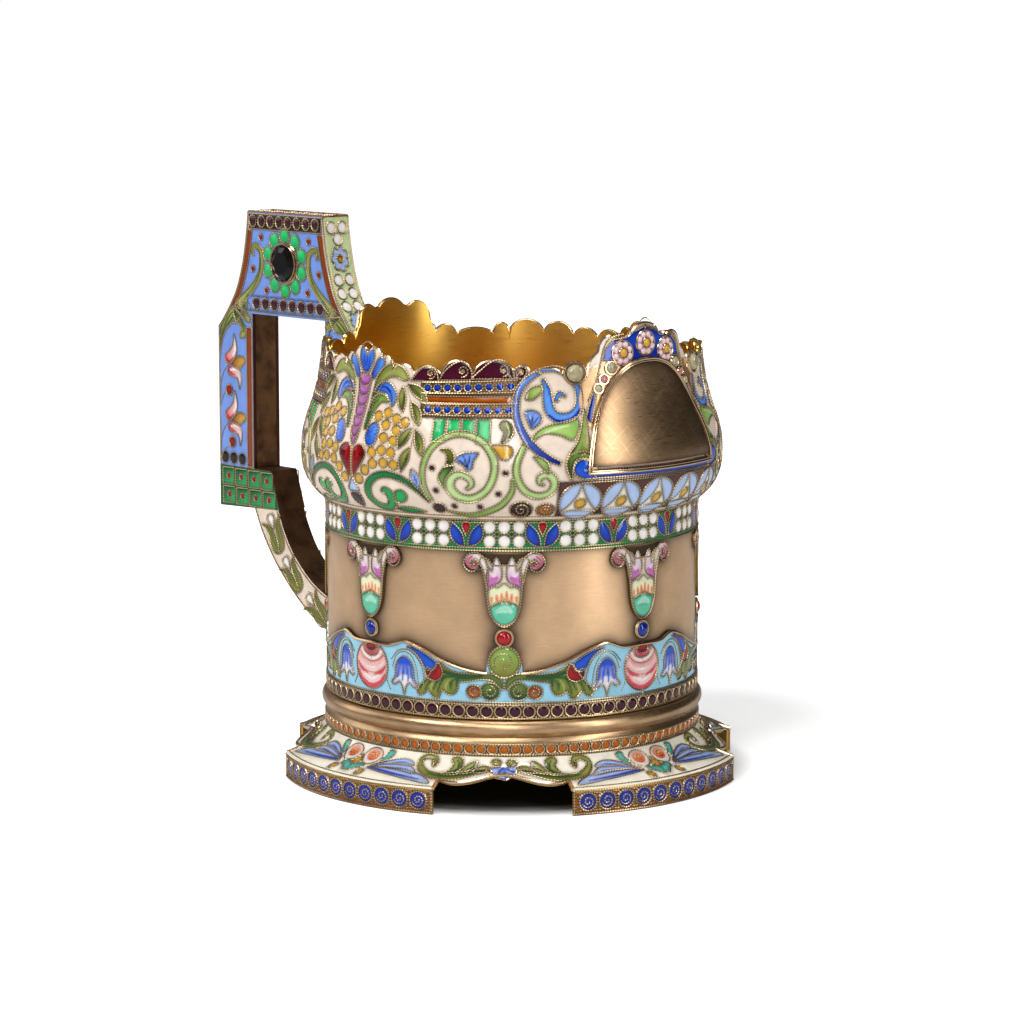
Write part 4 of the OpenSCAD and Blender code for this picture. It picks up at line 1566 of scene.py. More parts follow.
    def palmette(self, pen: Pen) -> None:
        """The upright flower between two panels, mirrored about its stem.

        Args:
            pen: A pen at the palmette's middle.
        """
        for p in pen.both():
            self.palmette_half(p)
        pen.cell(blob((0, 81.2), (1.2, 82.6), (2.0, 84.4), (1.8, 86.2), (1.0, 87.2), (0, 87.6), (-1.0, 87.2),
                      (-1.8, 86.2), (-2.0, 84.4), (-1.2, 82.6)), Tone.BLUE, Tone.AZURE)
        for u in (-0.7, 0.0, 0.7):
            pen.stroke(((u * 0.6, 82.4), (u, 83.8), (u * 1.2, 85.2)), 0.3, Tone.COBALT)
        pen.cell(blob((0, 68.2), (0.75, 69.2), (1.15, 71.5), (1.3, 75), (1.5, 78.5), (1.75, 80.4),
                      (1.2, 81.6), (0, 81.9), (-1.2, 81.6), (-1.75, 80.4), (-1.5, 78.5), (-1.3, 75),
                      (-1.15, 71.5), (-0.75, 69.2)), Tone.MAUVE, Tone.VIOLET)
        for v, half in ((79.8, 1.55), (77.9, 1.45), (75.9, 1.35), (73.9, 1.25), (71.9, 1.1), (70.2, 0.85)):
            scallop = smooth(((-half, v + 0.5), (-0.72 * half, v - 0.3), (0, v - 0.65),
                              (0.72 * half, v - 0.3), (half, v + 0.5)), 4)
            pen.canvas.fill(pen.spot(band(scallop + [0, 0.35], (0.3, 0.9, 0.3), 1)),
                            Paint(Tone.PLUM_PINK, None, 0, 0, 0))
            pen.line(scallop, 0.15)
        pen.cell(smooth(((0, 62.2), (-0.6, 61.2), (-1.3, 60), (-1, 59.3), (1, 59.3), (1.3, 60),
                         (0.6, 61.2)), 3, True), Tone.PALE_BLUE, Tone.PALE_BLUE)
        pen.cell(blob((-1.3, 58.7), (0, 59.3), (1.3, 58.7), (1.2, 57.2), (0, 56.2), (-1.2, 57.2)), Tone.BROWN)

    @staticmethod
    def palmette_half(p: Pen) -> None:
        """One side of the palmette.

        Args:
            p: A pen for this side.
        """
        p.cell(band(((15.8, 58.6), (13.6, 61), (11, 62.7), (8, 63.4), (5.3, 62.6), (3.7, 60.7), (3.6, 58.5),
                     (5, 57), (6.9, 56.8), (8.2, 57.8), (8.3, 59.4), (7.3, 60.3), (6.5, 59.8)),
                    (0.5, 1.0, 1.2, 1.3, 1.4, 1.5, 1.5, 1.4, 1.4, 1.7, 1.9, 1.3, 0.5)), Tone.EMERALD_DARK,
               Tone.EMERALD)
        p.cell(blob((8.8, 58.4), (9.4, 60.2), (10.8, 60.6), (11.7, 59.7), (11.3, 58.6), (10.1, 58.0)),
               Tone.EMERALD)
        p.cell(leaf((8, 56.8), (14.6, 56.5), 1.3), Tone.EMERALD_DARK, Tone.EMERALD)
        p.cell(leaf((14.4, 60.9), (12.9, 64.9), 1.7), Tone.PALE_BLUE, Tone.PALE_BLUE)
        p.stroke(((14.1, 61.4), (13.6, 62.9), (13.2, 63.9)), 0.5, Tone.BLUE)
        for u, v in ((4.8, 74), (6.8, 74.7), (8.8, 73.7), (10.7, 73.2), (6.8, 72.5), (9.2, 71.6), (6.8, 70.1),
                     (8.9, 69.7), (4.7, 67.3), (6.7, 67.8), (8.7, 67.5), (5, 65.2), (7.3, 65.5), (9.4, 65.3),
                     (3.3, 63.8), (1.8, 62.0)):
            p.dot(u, v, 0.97, Paint(Tone.GOLD_ENAMEL, None, 0, 0.08, 0.4), wire=0.15)
        for base, tip, width in (((9.9, 74.9), (9.4, 79.8), 1.7), ((10.3, 80.2), (14.6, 77.1), 2.0),
                                 ((11.2, 77.1), (13.5, 72.8), 1.9), ((10.1, 68.3), (12.3, 72.2), 1.9),
                                 ((12.9, 72.1), (14.6, 67.2), 1.8), ((10.9, 64.0), (12.5, 68.8), 1.8)):
            p.cell(leaf(base, tip, width, 0.06), Tone.OLIVE_DARK, Tone.OLIVE_LIGHT)
            a, b = np.asarray(base), np.asarray(tip)
            p.stroke((a * 0.85 + b * 0.15, (a + b) / 2 + [0.12, 0], a * 0.2 + b * 0.8), 0.5, Tone.OLIVE_DARK)
        p.line(smooth(((10, 80), (11.3, 77), (12.6, 72.5), (12.6, 68.7)), 5), 0.13)
        p.cell(smooth(((2.2, 75.2), (2.5, 79), (3.3, 81.6), (5, 83.3), (7, 83.9), (9.2, 83.2), (10.5, 81.3),
                       (9.4, 80.8), (7.5, 81.4), (5.6, 80.9), (4.2, 79.3), (3.3, 77.3), (2.8, 75.0)), 4,
                      True), Tone.FOREST, Tone.OLIVE_LIGHT)
        p.stroke(((2.8, 78), (3.6, 80.8), (5.4, 82.6), (7.6, 83)), 0.55, Tone.OLIVE)
        p.cell(smooth(((2.9, 78.3), (3.6, 79.7), (5, 80.4), (6.8, 80), (8.0, 78.4), (8.0, 76.8), (7.3, 75.9),
                       (6.6, 77.0), (5.6, 78.1), (4.2, 78.4)), 4, True), Tone.BLUE, Tone.AZURE)
        p.stroke(((3.6, 79.2), (5.4, 79.4), (6.8, 78.3), (7.3, 76.8)), 0.5, Tone.COBALT)
        p.cell(smooth(((2.0, 71.6), (2.1, 75), (2.9, 77.3), (4.5, 78.0), (6, 77.6), (6.4, 76.6), (5, 76.5),
                       (4.1, 75.6), (3.4, 74.2), (2.8, 71.8)), 4, True), Tone.FOREST, Tone.LEAF)
        p.stroke(((2.5, 73), (2.9, 75.6), (4.2, 77)), 0.45, Tone.OLIVE_DARK)
        p.cell(smooth(((1.3, 80.9), (1.9, 82.9), (3.0, 84.6), (4.4, 85.0), (4.8, 83.7), (3.7, 81.9),
                       (2.1, 80.6)), 4, True), Tone.COBALT, Tone.AZURE)
        p.cell(blob((3.3, 68.5), (4.3, 68.4), (5.2, 69.1), (5.4, 70.4), (5.5, 71.8), (4.8, 72.7),
                    (3.7, 72.5), (2.9, 71.3), (2.7, 69.7)), Tone.BLUE, Tone.AZURE)
        for k in range(5):
            p.stroke(((3.0, 70.4 + 0.14 * k), (5.0, 69.0 + 0.8 * k)), 0.26, Tone.COBALT)
        p.cell(smooth(((0.2, 67.2), (1, 68.3), (2.2, 68.4), (3.2, 67.4), (3.0, 65.9), (1.6, 63.8),
                       (0.25, 62.4)), 3, True), Tone.RED, Tone.RED_DARK)
        p.stroke(((0.6, 67.6), (1.0, 66), (0.7, 64)), 0.5, Tone.RED_DARK)

    @staticmethod
    def cartouche(pen: Pen) -> None:
        """The tall crest that the daisies stand on, and the leaves beside the plaque.

        Args:
            pen: A pen at the plaque's middle.
        """
        for p in pen.both():
            p.cell(poly((14.6, 73.5), (13.3, 77.2), (11.6, 79.6), (10.2, 84.4), (9.2, 87.6), (7.7, 89.1),
                        (5.2, 89.5), (2.5, 90.4), (0, 91.3), (0, 80), (9, 76), (13.2, 72)),
                   gilt(Tone.SILVER_GILT, 0.02), wire=0)
            p.cell(poly((14.6, 74.6), (15.2, 77.4), (14.6, 80.2), (13.4, 82.4), (12.2, 83.6), (11.0, 83.8),
                        (11.8, 79.8), (13.6, 77.0)), gilt(Tone.WORN_GILT, 0.02), wire=0)
            p.cell(poly((14.2, 74), (12.3, 78.8), (11.6, 78.2), (13.0, 73.4)), Paint(Tone.COBALT), wire=0.14)
            p.cell(poly((0, 84.7), (3.4, 84.2), (5.8, 83.0), (7.0, 84.4), (9.9, 84.7), (9.3, 87.0),
                        (7.6, 88.5), (5.2, 88.9), (3.0, 89.8), (0, 90.7)), Paint(Tone.COBALT, Tone.BLUE),
                   wire=0.13)
            p.line(smooth(((13.4, 77.4), (11.7, 80.4), (10.5, 84.2), (9.5, 87.4), (8.0, 89.0), (5.4, 89.5)),
                          5), 0.22)
            p.cell(smooth(((16.6, 62.9), (17.9, 64.2), (18.3, 66.2), (17.5, 68.2), (16.4, 69.6),
                           (15.6, 71.4), (14.9, 73.8), (14.3, 76.2), (13.9, 74), (14.0, 71.4), (13.8, 69),
                           (13.6, 67.2), (14.6, 67.9), (15.8, 67.4), (16.7, 66.2), (16.5, 64.4)), 3, True),
                   Tone.FOREST, Tone.OLIVE_LIGHT, 0.17)
            p.stroke(((17.3, 65.2), (16.8, 67.6), (15.2, 70.6), (14.5, 73.8)), 0.5, Tone.LEAF)

    @staticmethod
    def handle_side(pen: Pen) -> None:
        """The scrolls, leaves and dots on both sides of the handle's root.

        Args:
            pen: A pen at the handle's middle.
        """
        for p in pen.both():
            p.cell(band(((14.4, 64.2), (14.9, 68), (13.2, 71.6), (10.2, 72.8), (7.6, 71.4), (6.9, 68.7),
                         (8.3, 66.6), (10.3, 66.9), (11, 68.6), (10, 69.6)),
                        (0.5, 1.1, 1.4, 1.5, 1.5, 1.4, 1.2, 1.0, 0.8, 0.4)), Tone.EMERALD_DARK,
                   Tone.EMERALD)
            p.cell(leaf((14.6, 73.8), (12.4, 82.2), 2.3, 0.1), Tone.COBALT, Tone.AZURE)
            p.cell(leaf((12.0, 74.4), (8.4, 82.6), 2.5, 0.12), Tone.FOREST, Tone.OLIVE_LIGHT)
            p.cell(leaf((8.6, 74.2), (5.6, 80.4), 1.9, 0.1), Tone.OLIVE_DARK, Tone.LIME)
            for path in (((12.2, 75.4), (11.4, 78.0), (9.4, 81.0)), ((8.7, 75.0), (7.6, 77.2), (6.4, 79.2))):
                p.stroke(path, 0.45, Tone.FOREST)
            for u, v in ((5.8, 83.2), (8.0, 84.6), (10.4, 84.6), (6.4, 86.2), (8.8, 87.0), (5.4, 72.6)):
                p.dot(u, v, 0.95, Tone.GOLD_ENAMEL, wire=0.14)
            for u, v in ((5.6, 65.6), (12.6, 65.2), (5.3, 69.4)):
                p.dot(u, v, 0.6, Tone.RED_DARK, Tone.RED, 0.12)

    @staticmethod
    def circles(pen: Pen) -> None:
        """The row of round cells, each with a three-pointed star, on brown.

        Args:
            pen: A pen at the row's middle.
        """
        pen.cell(poly((-19.6, 62.8), (19.6, 62.8), (19.6, 55.8), (-19.6, 55.8)), Tone.UMBER, Tone.BROWN, 0)
        for u in (-15.45, -7.7, 0, 7.7, 15.45):
            pen.cell(oval(u, 58.75, 3.8, 3.7, n=28), Tone.PALE_BLUE, wire=0.2)
            p = Pen(pen.canvas, pen.u + u, pen.v + 58.75)
            p.cell(smooth(((0, 3.5), (0.5, 1.9), (1.35, 0.35), (2.3, -0.9), (3.25, -1.95), (1.7, -1.75),
                           (0, -1.7), (-1.7, -1.75), (-3.25, -1.95), (-2.3, -0.9), (-1.35, 0.35),
                           (-0.5, 1.9)), 3, True), Tone.IVORY, wire=0.14)
            p.dot(0, -0.3, 1.05, Tone.GOLD_ENAMEL, wire=0.13)
        for v, r in ((62.95, 0.22), (62.5, 0.14)):
            pen.line(level(-15.6, 15.6, v), r)


@dataclass
class Plaque:
    """The plain arched plaque on the collar, its frame, the ribbon under it and the stones by it."""

    bench: Bench
    half: float = 13.3
    low: float = 65.4
    rise: float = 18.0
    lift: float = 0.75
    stone_z: float = 82.64
    stone_angle: float = 24.5

    def arch(self, u: Array, half: float, low: float, rise: float) -> Array:
        """The arch's height over its foot: a power of what is left of the half width."""
        t = np.clip(np.abs(u) / half, 0, 1)
        return low + rise * (1 - t**2.35) ** 0.62

    def outline(self, grow: float) -> Array:
        """The arch's line, from its left foot over the top to its right foot, grown by some width.

        Args:
            grow: How far the line lies outside the plate's arch.

        Returns:
            The line.
        """
        t = np.sin(np.linspace(-1, 1, 121) * np.pi / 2)
        u = t * (self.half + grow)
        return np.stack([u, self.arch(u, self.half + grow, self.low - grow, self.rise + 2 * grow)], -1)

    def build(self) -> None:
        """The plate, its frame of two smooth wires, the ribbon with its two volutes, and the stones."""
        face = Turned(SLEEVE_R, collar_profile(), 0)
        plate = Canvas(face, gilt(Tone.OLD_GOLD), 0.1, self.lift, 0.45)
        top = self.outline(0.85)
        flat = np.stack([top[:, 0], np.full(len(top), self.low)], -1)
        plate.patch(flat, top)
        # Painted shade: the plate turns brown along its arch, under the frame, and along its foot by the
        # ribbon.
        for strength, width in ((0.5, 1.7), (0.92, 0.55)):
            plate.halo(self.outline(0.8), width, strength, Tone.BROWN, closed=False)
        plate.halo(level(-16, 16, self.low, 0.5), 0.5, 0.8, Tone.BROWN, closed=False)
        self.bench.place("front_plaque", plate.sheet(), Finish.PLAQUE, "gilt", "front_plaque")
        shapes = []
        for grow, radius, lift in ((1.2, 0.3, 0.68), (0.78, 0.15, 0.85)):
            line = self.outline(grow)
            line = np.vstack([line, line[:1]])
            p = even(line, 300)[:-1]
            points, normal = face.raised(p[:, 0], p[:, 1], lift)
            shapes.append(tube(points, normal, True, np.full(len(p), radius), 8, Tone.SILVER_GILT))
        self.bench.place("plaque_frame", Shape.joined(shapes), Finish.POLISHED, "silver_gilt", "plaque_frame")
        ribbon = Canvas(face, Paint(Tone.COBALT), 0.2, 0.45)
        ribbon.patch(level(-15.0, 15.0, 63.1), level(-15.0, 15.0, 65.0))
        pen = ribbon.pen()
        pen.cell(poly((-14.8, 63.35), (14.8, 63.35), (14.8, 64.85), (-14.8, 64.85)),
                 Paint(Tone.BLUE, None, 0, 0.2), wire=0.18)
        volutes = Canvas(face, Paint(Tone.COBALT), 0.2, 0.5)
        for side in (-1, 1):
            volutes.patch(*(np.stack([side * run(12.9, 17.6, FINE), 0 * run(12.9, 17.6, FINE) + z],
                                     -1)[::side] for z in (62.9, 67.7)))
            p = volutes.pen(-0.7 * side, flip=side < 0)
            p.cell(poly((13.6, 62.9), (18.4, 62.9), (18.4, 67.8), (13.6, 67.8)), gilt(Tone.SILVER_GILT),
                   wire=0)
            p.cell(band(((18.2, 63.4), (18.4, 66), (17.4, 67.5), (15.4, 67.6), (14.2, 66.6)),
                        (0.4, 1.3, 1.3, 1.2, 0.5)), Tone.FOREST, Tone.LEAF, 0.15)
            p.cell(blob((14.2, 63.2), (16.2, 63.3), (17.6, 64.3), (17.7, 65.7), (16.7, 66.8), (15.4, 66.7),
                        (14.8, 65.9), (15.4, 65.1), (14.4, 64.8)), Paint(Tone.BLUE, Tone.BLUE, 0, 0.25),
                   wire=0.2)
        self.bench.place("plaque_ribbon", Shape.joined([ribbon.sheet(), volutes.sheet()]), Finish.ENAMEL,
                         "collar_enamel", "plaque_ribbon")
        self.bench.place("ribbon_wires", Shape.joined([ribbon.wiring(), volutes.wiring()]), Finish.WIRE,
                         "silver_gilt")
        self.stones(face)

    def stones(self, face: Turned) -> None:
        """The clear stones in cups, the small coloured ones and the daisies' relief.

        Args:
            face: The collar's outer face.
        """
        clear, cups, pale, red = [], [], [], []
        for side in (-1, 1):
            u = side * math.radians(self.stone_angle) * SLEEVE_R
            clear.append(dome(face, u, self.stone_z, 1.75, 1.15, Tone.WHITE, 3, 12, -0.2, STONE_FACETS))
            cups += [wire_ring(face, u, self.stone_z, 1.95, 0.3), wire_ring(face, u, self.stone_z, 2.15, 0.1)]
            for du, v, r, tone, group in ((8.3, 83.3, 1.1, Tone.LIME, pale),
                                          (10.0, 81.3, 0.8, Tone.ROSE, red),
                                          (11.2, 79.6, 0.8, Tone.WHITE, pale)):
                group.append(dome(face, side * du, v, r, r * 0.7, tone, 3, 12, -0.2))
                cups.append(wire_ring(face, side * du, v, r + 0.12, 0.2))
        self.bench.place("clear_stones", Shape.joined(clear + pale), Finish.CLEAR_STONE, "clear_stone",
                         "clear_stones")
        self.bench.place("pink_stones", Shape.joined(red), Finish.PINK_STONE, "red_stone")
        petals = []
        for u, v in ((0, 87.6), (-5.6, 86.0), (5.6, 86.0)):
            petals.append(dome(face, u, v, 2.3, 0.25, Tone.BLOSSOM, 2, 16))
            for k in range(8):
                a = math.radians(45 * k + 22)
                petals.append(dome(face, u + 1.62 * math.cos(a), v + 1.62 * math.sin(a), 0.66, 0.5,
                                   Tone.PINK, 3, 10))
            petals.append(dome(face, u, v, 1.0, 0.8, Tone.GOLD_ENAMEL, 3, 10))
            cups += [wire_ring(face, u, v, 0.95, 0.45, 0.13), wire_ring(face, u, v, 2.35, 0.15, 0.17)]
        self.bench.place("crest_daisies", Shape.joined(petals), Finish.ENAMEL, "flower_enamel",
                         "crest_daisies")
        self.bench.place("stone_cups", Shape.joined(cups), Finish.POLISHED, "silver_gilt", "stone_cups")


# Sleeve

COLUMN_SHARES = ((0.02, 0), (0.12, 0.06), (0.19, 0.16), (0.225, 0.3), (0.25, 0.5), (0.27, 0.7), (0.3, 0.78),
                 (0.42, 0.79), (0.5, 0.84), (0.525, 0.91), (0.5, 0.97), (0.45, 1.0))
GARLAND_SHARES = ((0, 0.9), (0.17, 0.9), (0.3, 1), (0.45, 0.89), (0.58, 0.73), (0.73, 0.6), (0.87, 0.54),
                  (1, 0.54))
GARLAND_Z = 19.81
GARLAND_H = 11.0
DISC_Z = 27.9
DISC_R = 3.2


@dataclass
class Sleeve:
    """The upright wall under the collar, with all its bands."""

    bench: Bench
    bore_r: float = 35.5
    floor_z: float = 10.9
    column_z: float = 34.58
    column_h: float = 14.0
    drop_z: float = 32.5
    bead_axis_r: float = 36.1
    bead_z: float = 15.01
    bead_r: float = 1.8

    def build(self) -> None:
        """The wall and its moulding, then each band from the collar down."""
        wall = ((self.bore_r, self.floor_z), (SLEEVE_R, self.floor_z), (SLEEVE_R, 55.8), (self.bore_r, 55.8))
        self.bench.place("sleeve", lathe(wall, Tone.BRIGHT), Finish.BRIGHT, "bright_gilt", "sleeve")
        t = np.linspace(-115, 115, 22)
        bead = np.stack([self.bead_axis_r + self.bead_r * np.cos(np.radians(t)),
                         self.bead_z + self.bead_r * np.sin(np.radians(t))], -1)
        outline = np.vstack([[SLEEVE_R - 0.4, bead[0, 1]], bead[bead[:, 0] > SLEEVE_R - 0.4],
                             [SLEEVE_R - 0.4, bead[-1, 1]]])
        fillet = ((36.3, 12.3), (37.3, 12.3), (36.9, 12.75), (36.75, 13.3), (36.3, 13.4))
        self.bench.place("sleeve_moulding",
                         Shape.joined([lathe(outline, Tone.GILT), lathe(fillet, Tone.GILT)]), Finish.SATIN,
                         "gilt", "sleeve_moulding")
        self.bead_band()
        self.columns()
        self.garland()
        self.dots()

    def bead_band(self) -> None:
        """Pairs of blue petals with a red drop between them, and six white dots between pairs."""
        half = EIGHTH / 4
        canvas = Canvas(Turned(SLEEVE_R, round_wall(SLEEVE_R, 48, 56), 0), Paint(Tone.BOTTLE), 0.3, 0.3,
                        limits=(-half, half))
        canvas.patch(level(-half, half, 49.0, FINE), level(-half, half, 55.2, FINE))
        pen = canvas.pen()
        for side in (-1, 1):
            axis = side * half
            for way in (-1, 1):
                pen.cell(leaf((axis + way * 0.3, 50.0), (axis + way * 2.6, 54.4), 2.35, -way * 0.1, 0.5, 0.8),
                         Paint(Tone.COBALT, Tone.BLUE, 0, 0.16))
                pen.cell(poly((axis + way * 2.9, 54.8), (axis + way * 4.2, 54.8), (axis + way * 3.5, 53.6)),
                         Tone.IVORY, wire=0.1)
            pen.cell(drop((axis, 51.9), (axis, 53.9), 0.85), Paint(Tone.RED, Tone.RED, 0, 0.16))
        for u in (-2.75, 0, 2.75):
            for v in (53.72, 51.0):
                pen.dot(u, v, 1.2, Paint(Tone.WHITE, None, 0, 0.34, 0.3), wire=0.15)
        for u in (-1.37, 1.37):
            pen.cell(poly((u - 0.55, 52.36), (u, 52.95), (u + 0.55, 52.36), (u, 51.8)), Tone.EMERALD_DARK,
                     wire=0.1)
        for v, r in ((55.0, 0.2), (54.55, 0.12), (49.75, 0.12), (49.2, 0.22)):
            pen.line(level(-half, half, v), r)
        units = [22.5 * k for k in range(16)]
        self.bench.place("bead_band", canvas.sheet().round_about(units), Finish.ENAMEL, "green_enamel",
                         "bead_band")
        self.bench.place("bead_band_wires", canvas.wiring().round_about(units), Finish.WIRE, "silver_gilt")

    def columns(self) -> None:
        """One hanging lotus column, eight times over, and the drops under them."""
        face = Turned(SLEEVE_R, round_wall(SLEEVE_R, 30, 56), 0)
        half = [(s * self.column_h, self.column_z + t * self.column_h) for s, t in COLUMN_SHARES]
        right = even(smooth(half, 4), 90)
        canvas = Canvas(face, gilt(Tone.GILT_DARK), 0.2, 0.42, 0.16)
        canvas.patch(right * [-1, 1], right)
        pen = canvas.pen()
        body = [(0, 34.7), (1.5, 35.4), (2.5, 36.9), (3.0, 38.8), (3.3, 41.4), (3.6, 44.2), (4.1, 45.9),
                (4.6, 46.9), (4.2, 48.0), (3.0, 47.6), (2.2, 46.6), (1.1, 46.4), (0, 46.6)]
        outline = np.array(body + [(-u, v) for u, v in body[-2:0:-1]])
        pen.cell(smooth(outline, 3, True), Tone.BONE, wire=0.19)
        pen.cell(smooth([(-2.6, 38.3), (-2.3, 36.6), (-1.4, 35.5), (0, 35.0), (1.4, 35.5), (2.3, 36.6),
                         (2.6, 38.3), (2.3, 39.1), (1.2, 39.2), (0.2, 39.8), (-1.2, 39.2), (-2.3, 38.7)], 3,
                        True), Paint(Tone.MINT, Tone.MINT, 0, 0.2), wire=0.1)
        pen.stroke(((-1.6, 37.6), (0.2, 38.2), (1.6, 37.5)), 1.5, Tone.MINT_LIGHT)
        pen.cell(smooth([(-2.7, 38.9), (-1.2, 39.4), (0, 39.9), (1.2, 39.5), (2.7, 38.9), (3.0, 41.6),
                         (2.0, 42.4), (1.2, 42.3), (0, 43.1), (-1.2, 42.3), (-2.0, 42.4), (-3.0, 41.6)], 3,
                        True), Tone.LEMON, wire=0.1)
        for u, top in ((-2.35, 40.4), (-1.35, 40.9), (-0.45, 41.2), (0.45, 41.6), (1.35, 41.1), (2.3, 40.6)):
            pen.stroke(((u, 39.2), (u * 1.02, 40.2), (u * 1.06, top)), 0.75, Tone.CORAL_LIGHT)
            pen.stroke(((u, 39.5), (u * 1.03, top - 0.5)), 0.3, Tone.FLAME)
        for p in pen.both():
            p.cell(smooth([(1.5, 48.0), (0.9, 47.2), (0.45, 45.8), (0.35, 44.4), (0.9, 43.2), (2.0, 42.6),
                           (3.15, 42.0), (3.35, 43.6), (3.3, 45.0), (2.9, 46.2), (2.35, 45.4), (2.1, 46.8)],
                          3, True), Tone.WHITE, Tone.ORCHID, 0.14)
            p.stroke(((1.1, 44.2), (2.0, 43.6), (3.0, 43.4)), 1.1, Tone.ORCHID)
            p.stroke(((2.2, 42.9), (3.1, 42.5)), 0.5, Tone.MAUVE)
            p.cell(band(((3.35, 43.2), (3.5, 45.2), (4.0, 47.0), (5.2, 48.15), (6.4, 47.9), (7.0, 46.8),
                         (6.5, 45.9), (5.6, 45.9), (5.3, 46.7), (5.9, 47.0)),
                        (0.5, 1.0, 1.3, 1.4, 1.4, 1.3, 1.2, 1.1, 0.8, 0.4)), Tone.WHITE, Tone.ROSE_DEEP,
                   0.17)
            p.stroke(((5.9, 48.2), (6.9, 47.3), (6.6, 46.2), (5.7, 46.1)), 0.8, Tone.ROSE_DEEP)
        eighths = [45.0 * k for k in range(8)]
        self.bench.place("lotus_columns", canvas.sheet().round_about(eighths), Finish.ENAMEL, "flower_enamel",
                         *(f"lotus_column_{k + 1}" for k in range(8)))
        self.bench.place("column_wires", canvas.wiring().round_about(eighths), Finish.WIRE, "silver_gilt")
        stone = dome(face, 0, self.drop_z, 1.45, 1.0, Tone.COBALT, 4, 18)
        ring = Shape.joined([wire_ring(face, 0, self.drop_z, 1.62, 0.2, 0.22),
                             wire_ring(face, 0, self.drop_z, 1.5, 0.42, 0.12)])
        self.bench.place("blue_drops", stone.round_about(QUARTERS), Finish.BLUE_STONE, "blue_stone",
                         "blue_drops")
        self.bench.place("red_drops", stone.turned(45).round_about(QUARTERS), Finish.RED_STONE, "red_stone",
                         "red_drops")
        self.bench.place("drop_rings", ring.round_about(eighths), Finish.WIRE, "silver_gilt")
        self.bare_field(face, outline)

    def bare_field(self, face: Turned, column: Array) -> None:
        """The plain gilding between the columns, darker along everything that stands on it.

        Args:
            face: The sleeve's face.
            column: A column's outline.
        """
        canvas = Canvas(face, gilt(Tone.PALE_GILT), 0.1, 0.05, 0.55)
        u = run(-EIGHTH, EIGHTH, 0.55)
        canvas.patch(np.stack([u, 0 * u + 24], -1), np.stack([u, 0 * u + 49.6], -1))
        for strength, width in ((0.4, 2.6), (0.92, 0.95)):
            for axis in (-EIGHTH, 0, EIGHTH):
                canvas.halo(column + [axis, 0], width, strength)
                for side in (-1, 1):
                    canvas.halo(oval(axis + side * 5.9, 46.9, 1.7), width * 0.7, strength)
                canvas.halo(oval(axis, self.drop_z, 1.8), width, strength)
            canvas.halo(level(-EIGHTH - 3, EIGHTH + 3, 49.5, 1.0), width * 0.8, strength, closed=False)
            canvas.halo(garland_edge(np.linspace(-EIGHTH - 3, EIGHTH + 3, 90)), width * 1.1, strength,
                        closed=False)
        self.bench.place("sleeve_field", canvas.sheet().turned(45).round_about(QUARTERS), Finish.FIELD,
                         "gilt")

    def garland(self) -> None:
        """The garland of roses, bellflowers and acanthus, from one rose to the next, four times."""
        face = Turned(SLEEVE_R, round_wall(SLEEVE_R, 15, 36), 45)
        canvas = Canvas(face, Paint(Tone.SKY), 0.3, 0.3, limits=(-EIGHTH, EIGHTH))
        u = run(-EIGHTH, EIGHTH, FINE)
        canvas.patch(np.stack([u, 0 * u + 19.7], -1), garland_edge(u))
        pen = canvas.pen()
        for p in pen.both():
            self.garland_half(p)
        pen.cell(oval(0, DISC_Z, 3.0), Paint(Tone.OLIVE, Tone.LEAF, 0, 0.15), wire=0.26)
        pen.line(curl(0, DISC_Z, 2.0, 0.25, 210, -600), 0.2)
        pen.line(level(-EIGHTH, EIGHTH, 20.15), 0.2)
        self.bench.place("garland_band", canvas.sheet().round_about(QUARTERS), Finish.ENAMEL,
                         "turquoise_enamel", "garland_band", "garland_spirals", "garland_roses")
        self.bench.place("garland_wires", canvas.wiring().round_about(QUARTERS), Finish.WIRE, "silver_gilt")
        border = []
        for side in (-1, 1):
            edge = garland_edge(side * np.linspace(DISC_R + 0.01, EIGHTH, 120)[::side])
            points, normal = face.raised(edge[:, 0], edge[:, 1], 0.42)
            border.append(tube(points, normal, False, np.full(len(points), 0.31), 8, Tone.SILVER_GILT))
        self.bench.place("garland_border", Shape.joined(border).round_about(QUARTERS), Finish.POLISHED,
                         "silver_gilt")

    @staticmethod
    def garland_half(p: Pen) -> None:
        """From the spiral disc to the middle of a rose.

        Args:
            p: A pen for this side of the disc.
        """
        p.cell(smooth([(0.3, 22.6), (0.2, 24), (1.2, 25.2), (3, 25.7), (6, 25.6), (9, 25.7), (11, 26.4),
                       (12.5, 27.4), (13.6, 26.4), (15, 24.4), (17.2, 22), (16.8, 20.8), (15.6, 21.2),
                       (14.9, 21.9), (13.9, 20.7), (12.6, 20.7), (12, 22.0), (10.9, 21.4), (9.6, 21.5),
                       (8.8, 22.7), (8.6, 23.8), (6.6, 24.1), (4.5, 24.5), (2.5, 24.4), (1.4, 23.6)], 3,
                      True), Tone.MOSS, Tone.OLIVE)
        p.stroke(((4, 25.2), (7, 24.9), (9.6, 25.1), (12, 25.9)), 1.1, Tone.FOREST)
        for path in (((9.4, 24.8), (11.4, 24.6), (12.4, 23.2), (13, 21.4)),
                     ((9.2, 24.6), (10.2, 23.6), (10.2, 22)),
                     ((11.6, 25.6), (13.6, 24.7), (14.8, 23.2), (15.6, 21.9)),
                     ((10.8, 25.2), (12.8, 24), (13.9, 22)), ((13, 26), (14.4, 25), (16, 23), (16.8, 21.8)),
                     ((8.2, 24.8), (9.0, 24.2), (9.2, 23))):
            p.stroke(path, 0.5, Tone.FOREST)
        for path in (((10.6, 24.2), (11.2, 23.2), (11.2, 22)), ((13.2, 24.2), (14.2, 22.8), (14.4, 21.8))):
            p.stroke(path, 0.36, Tone.OLIVE_LIGHT)
        p.cell(oval(2.7, 22.25, 1.85, 1.7), Tone.FOREST, Tone.MOSS)
        p.line(curl(2.7, 22.2, 1.2, 0.2, 90, 460), 0.17)
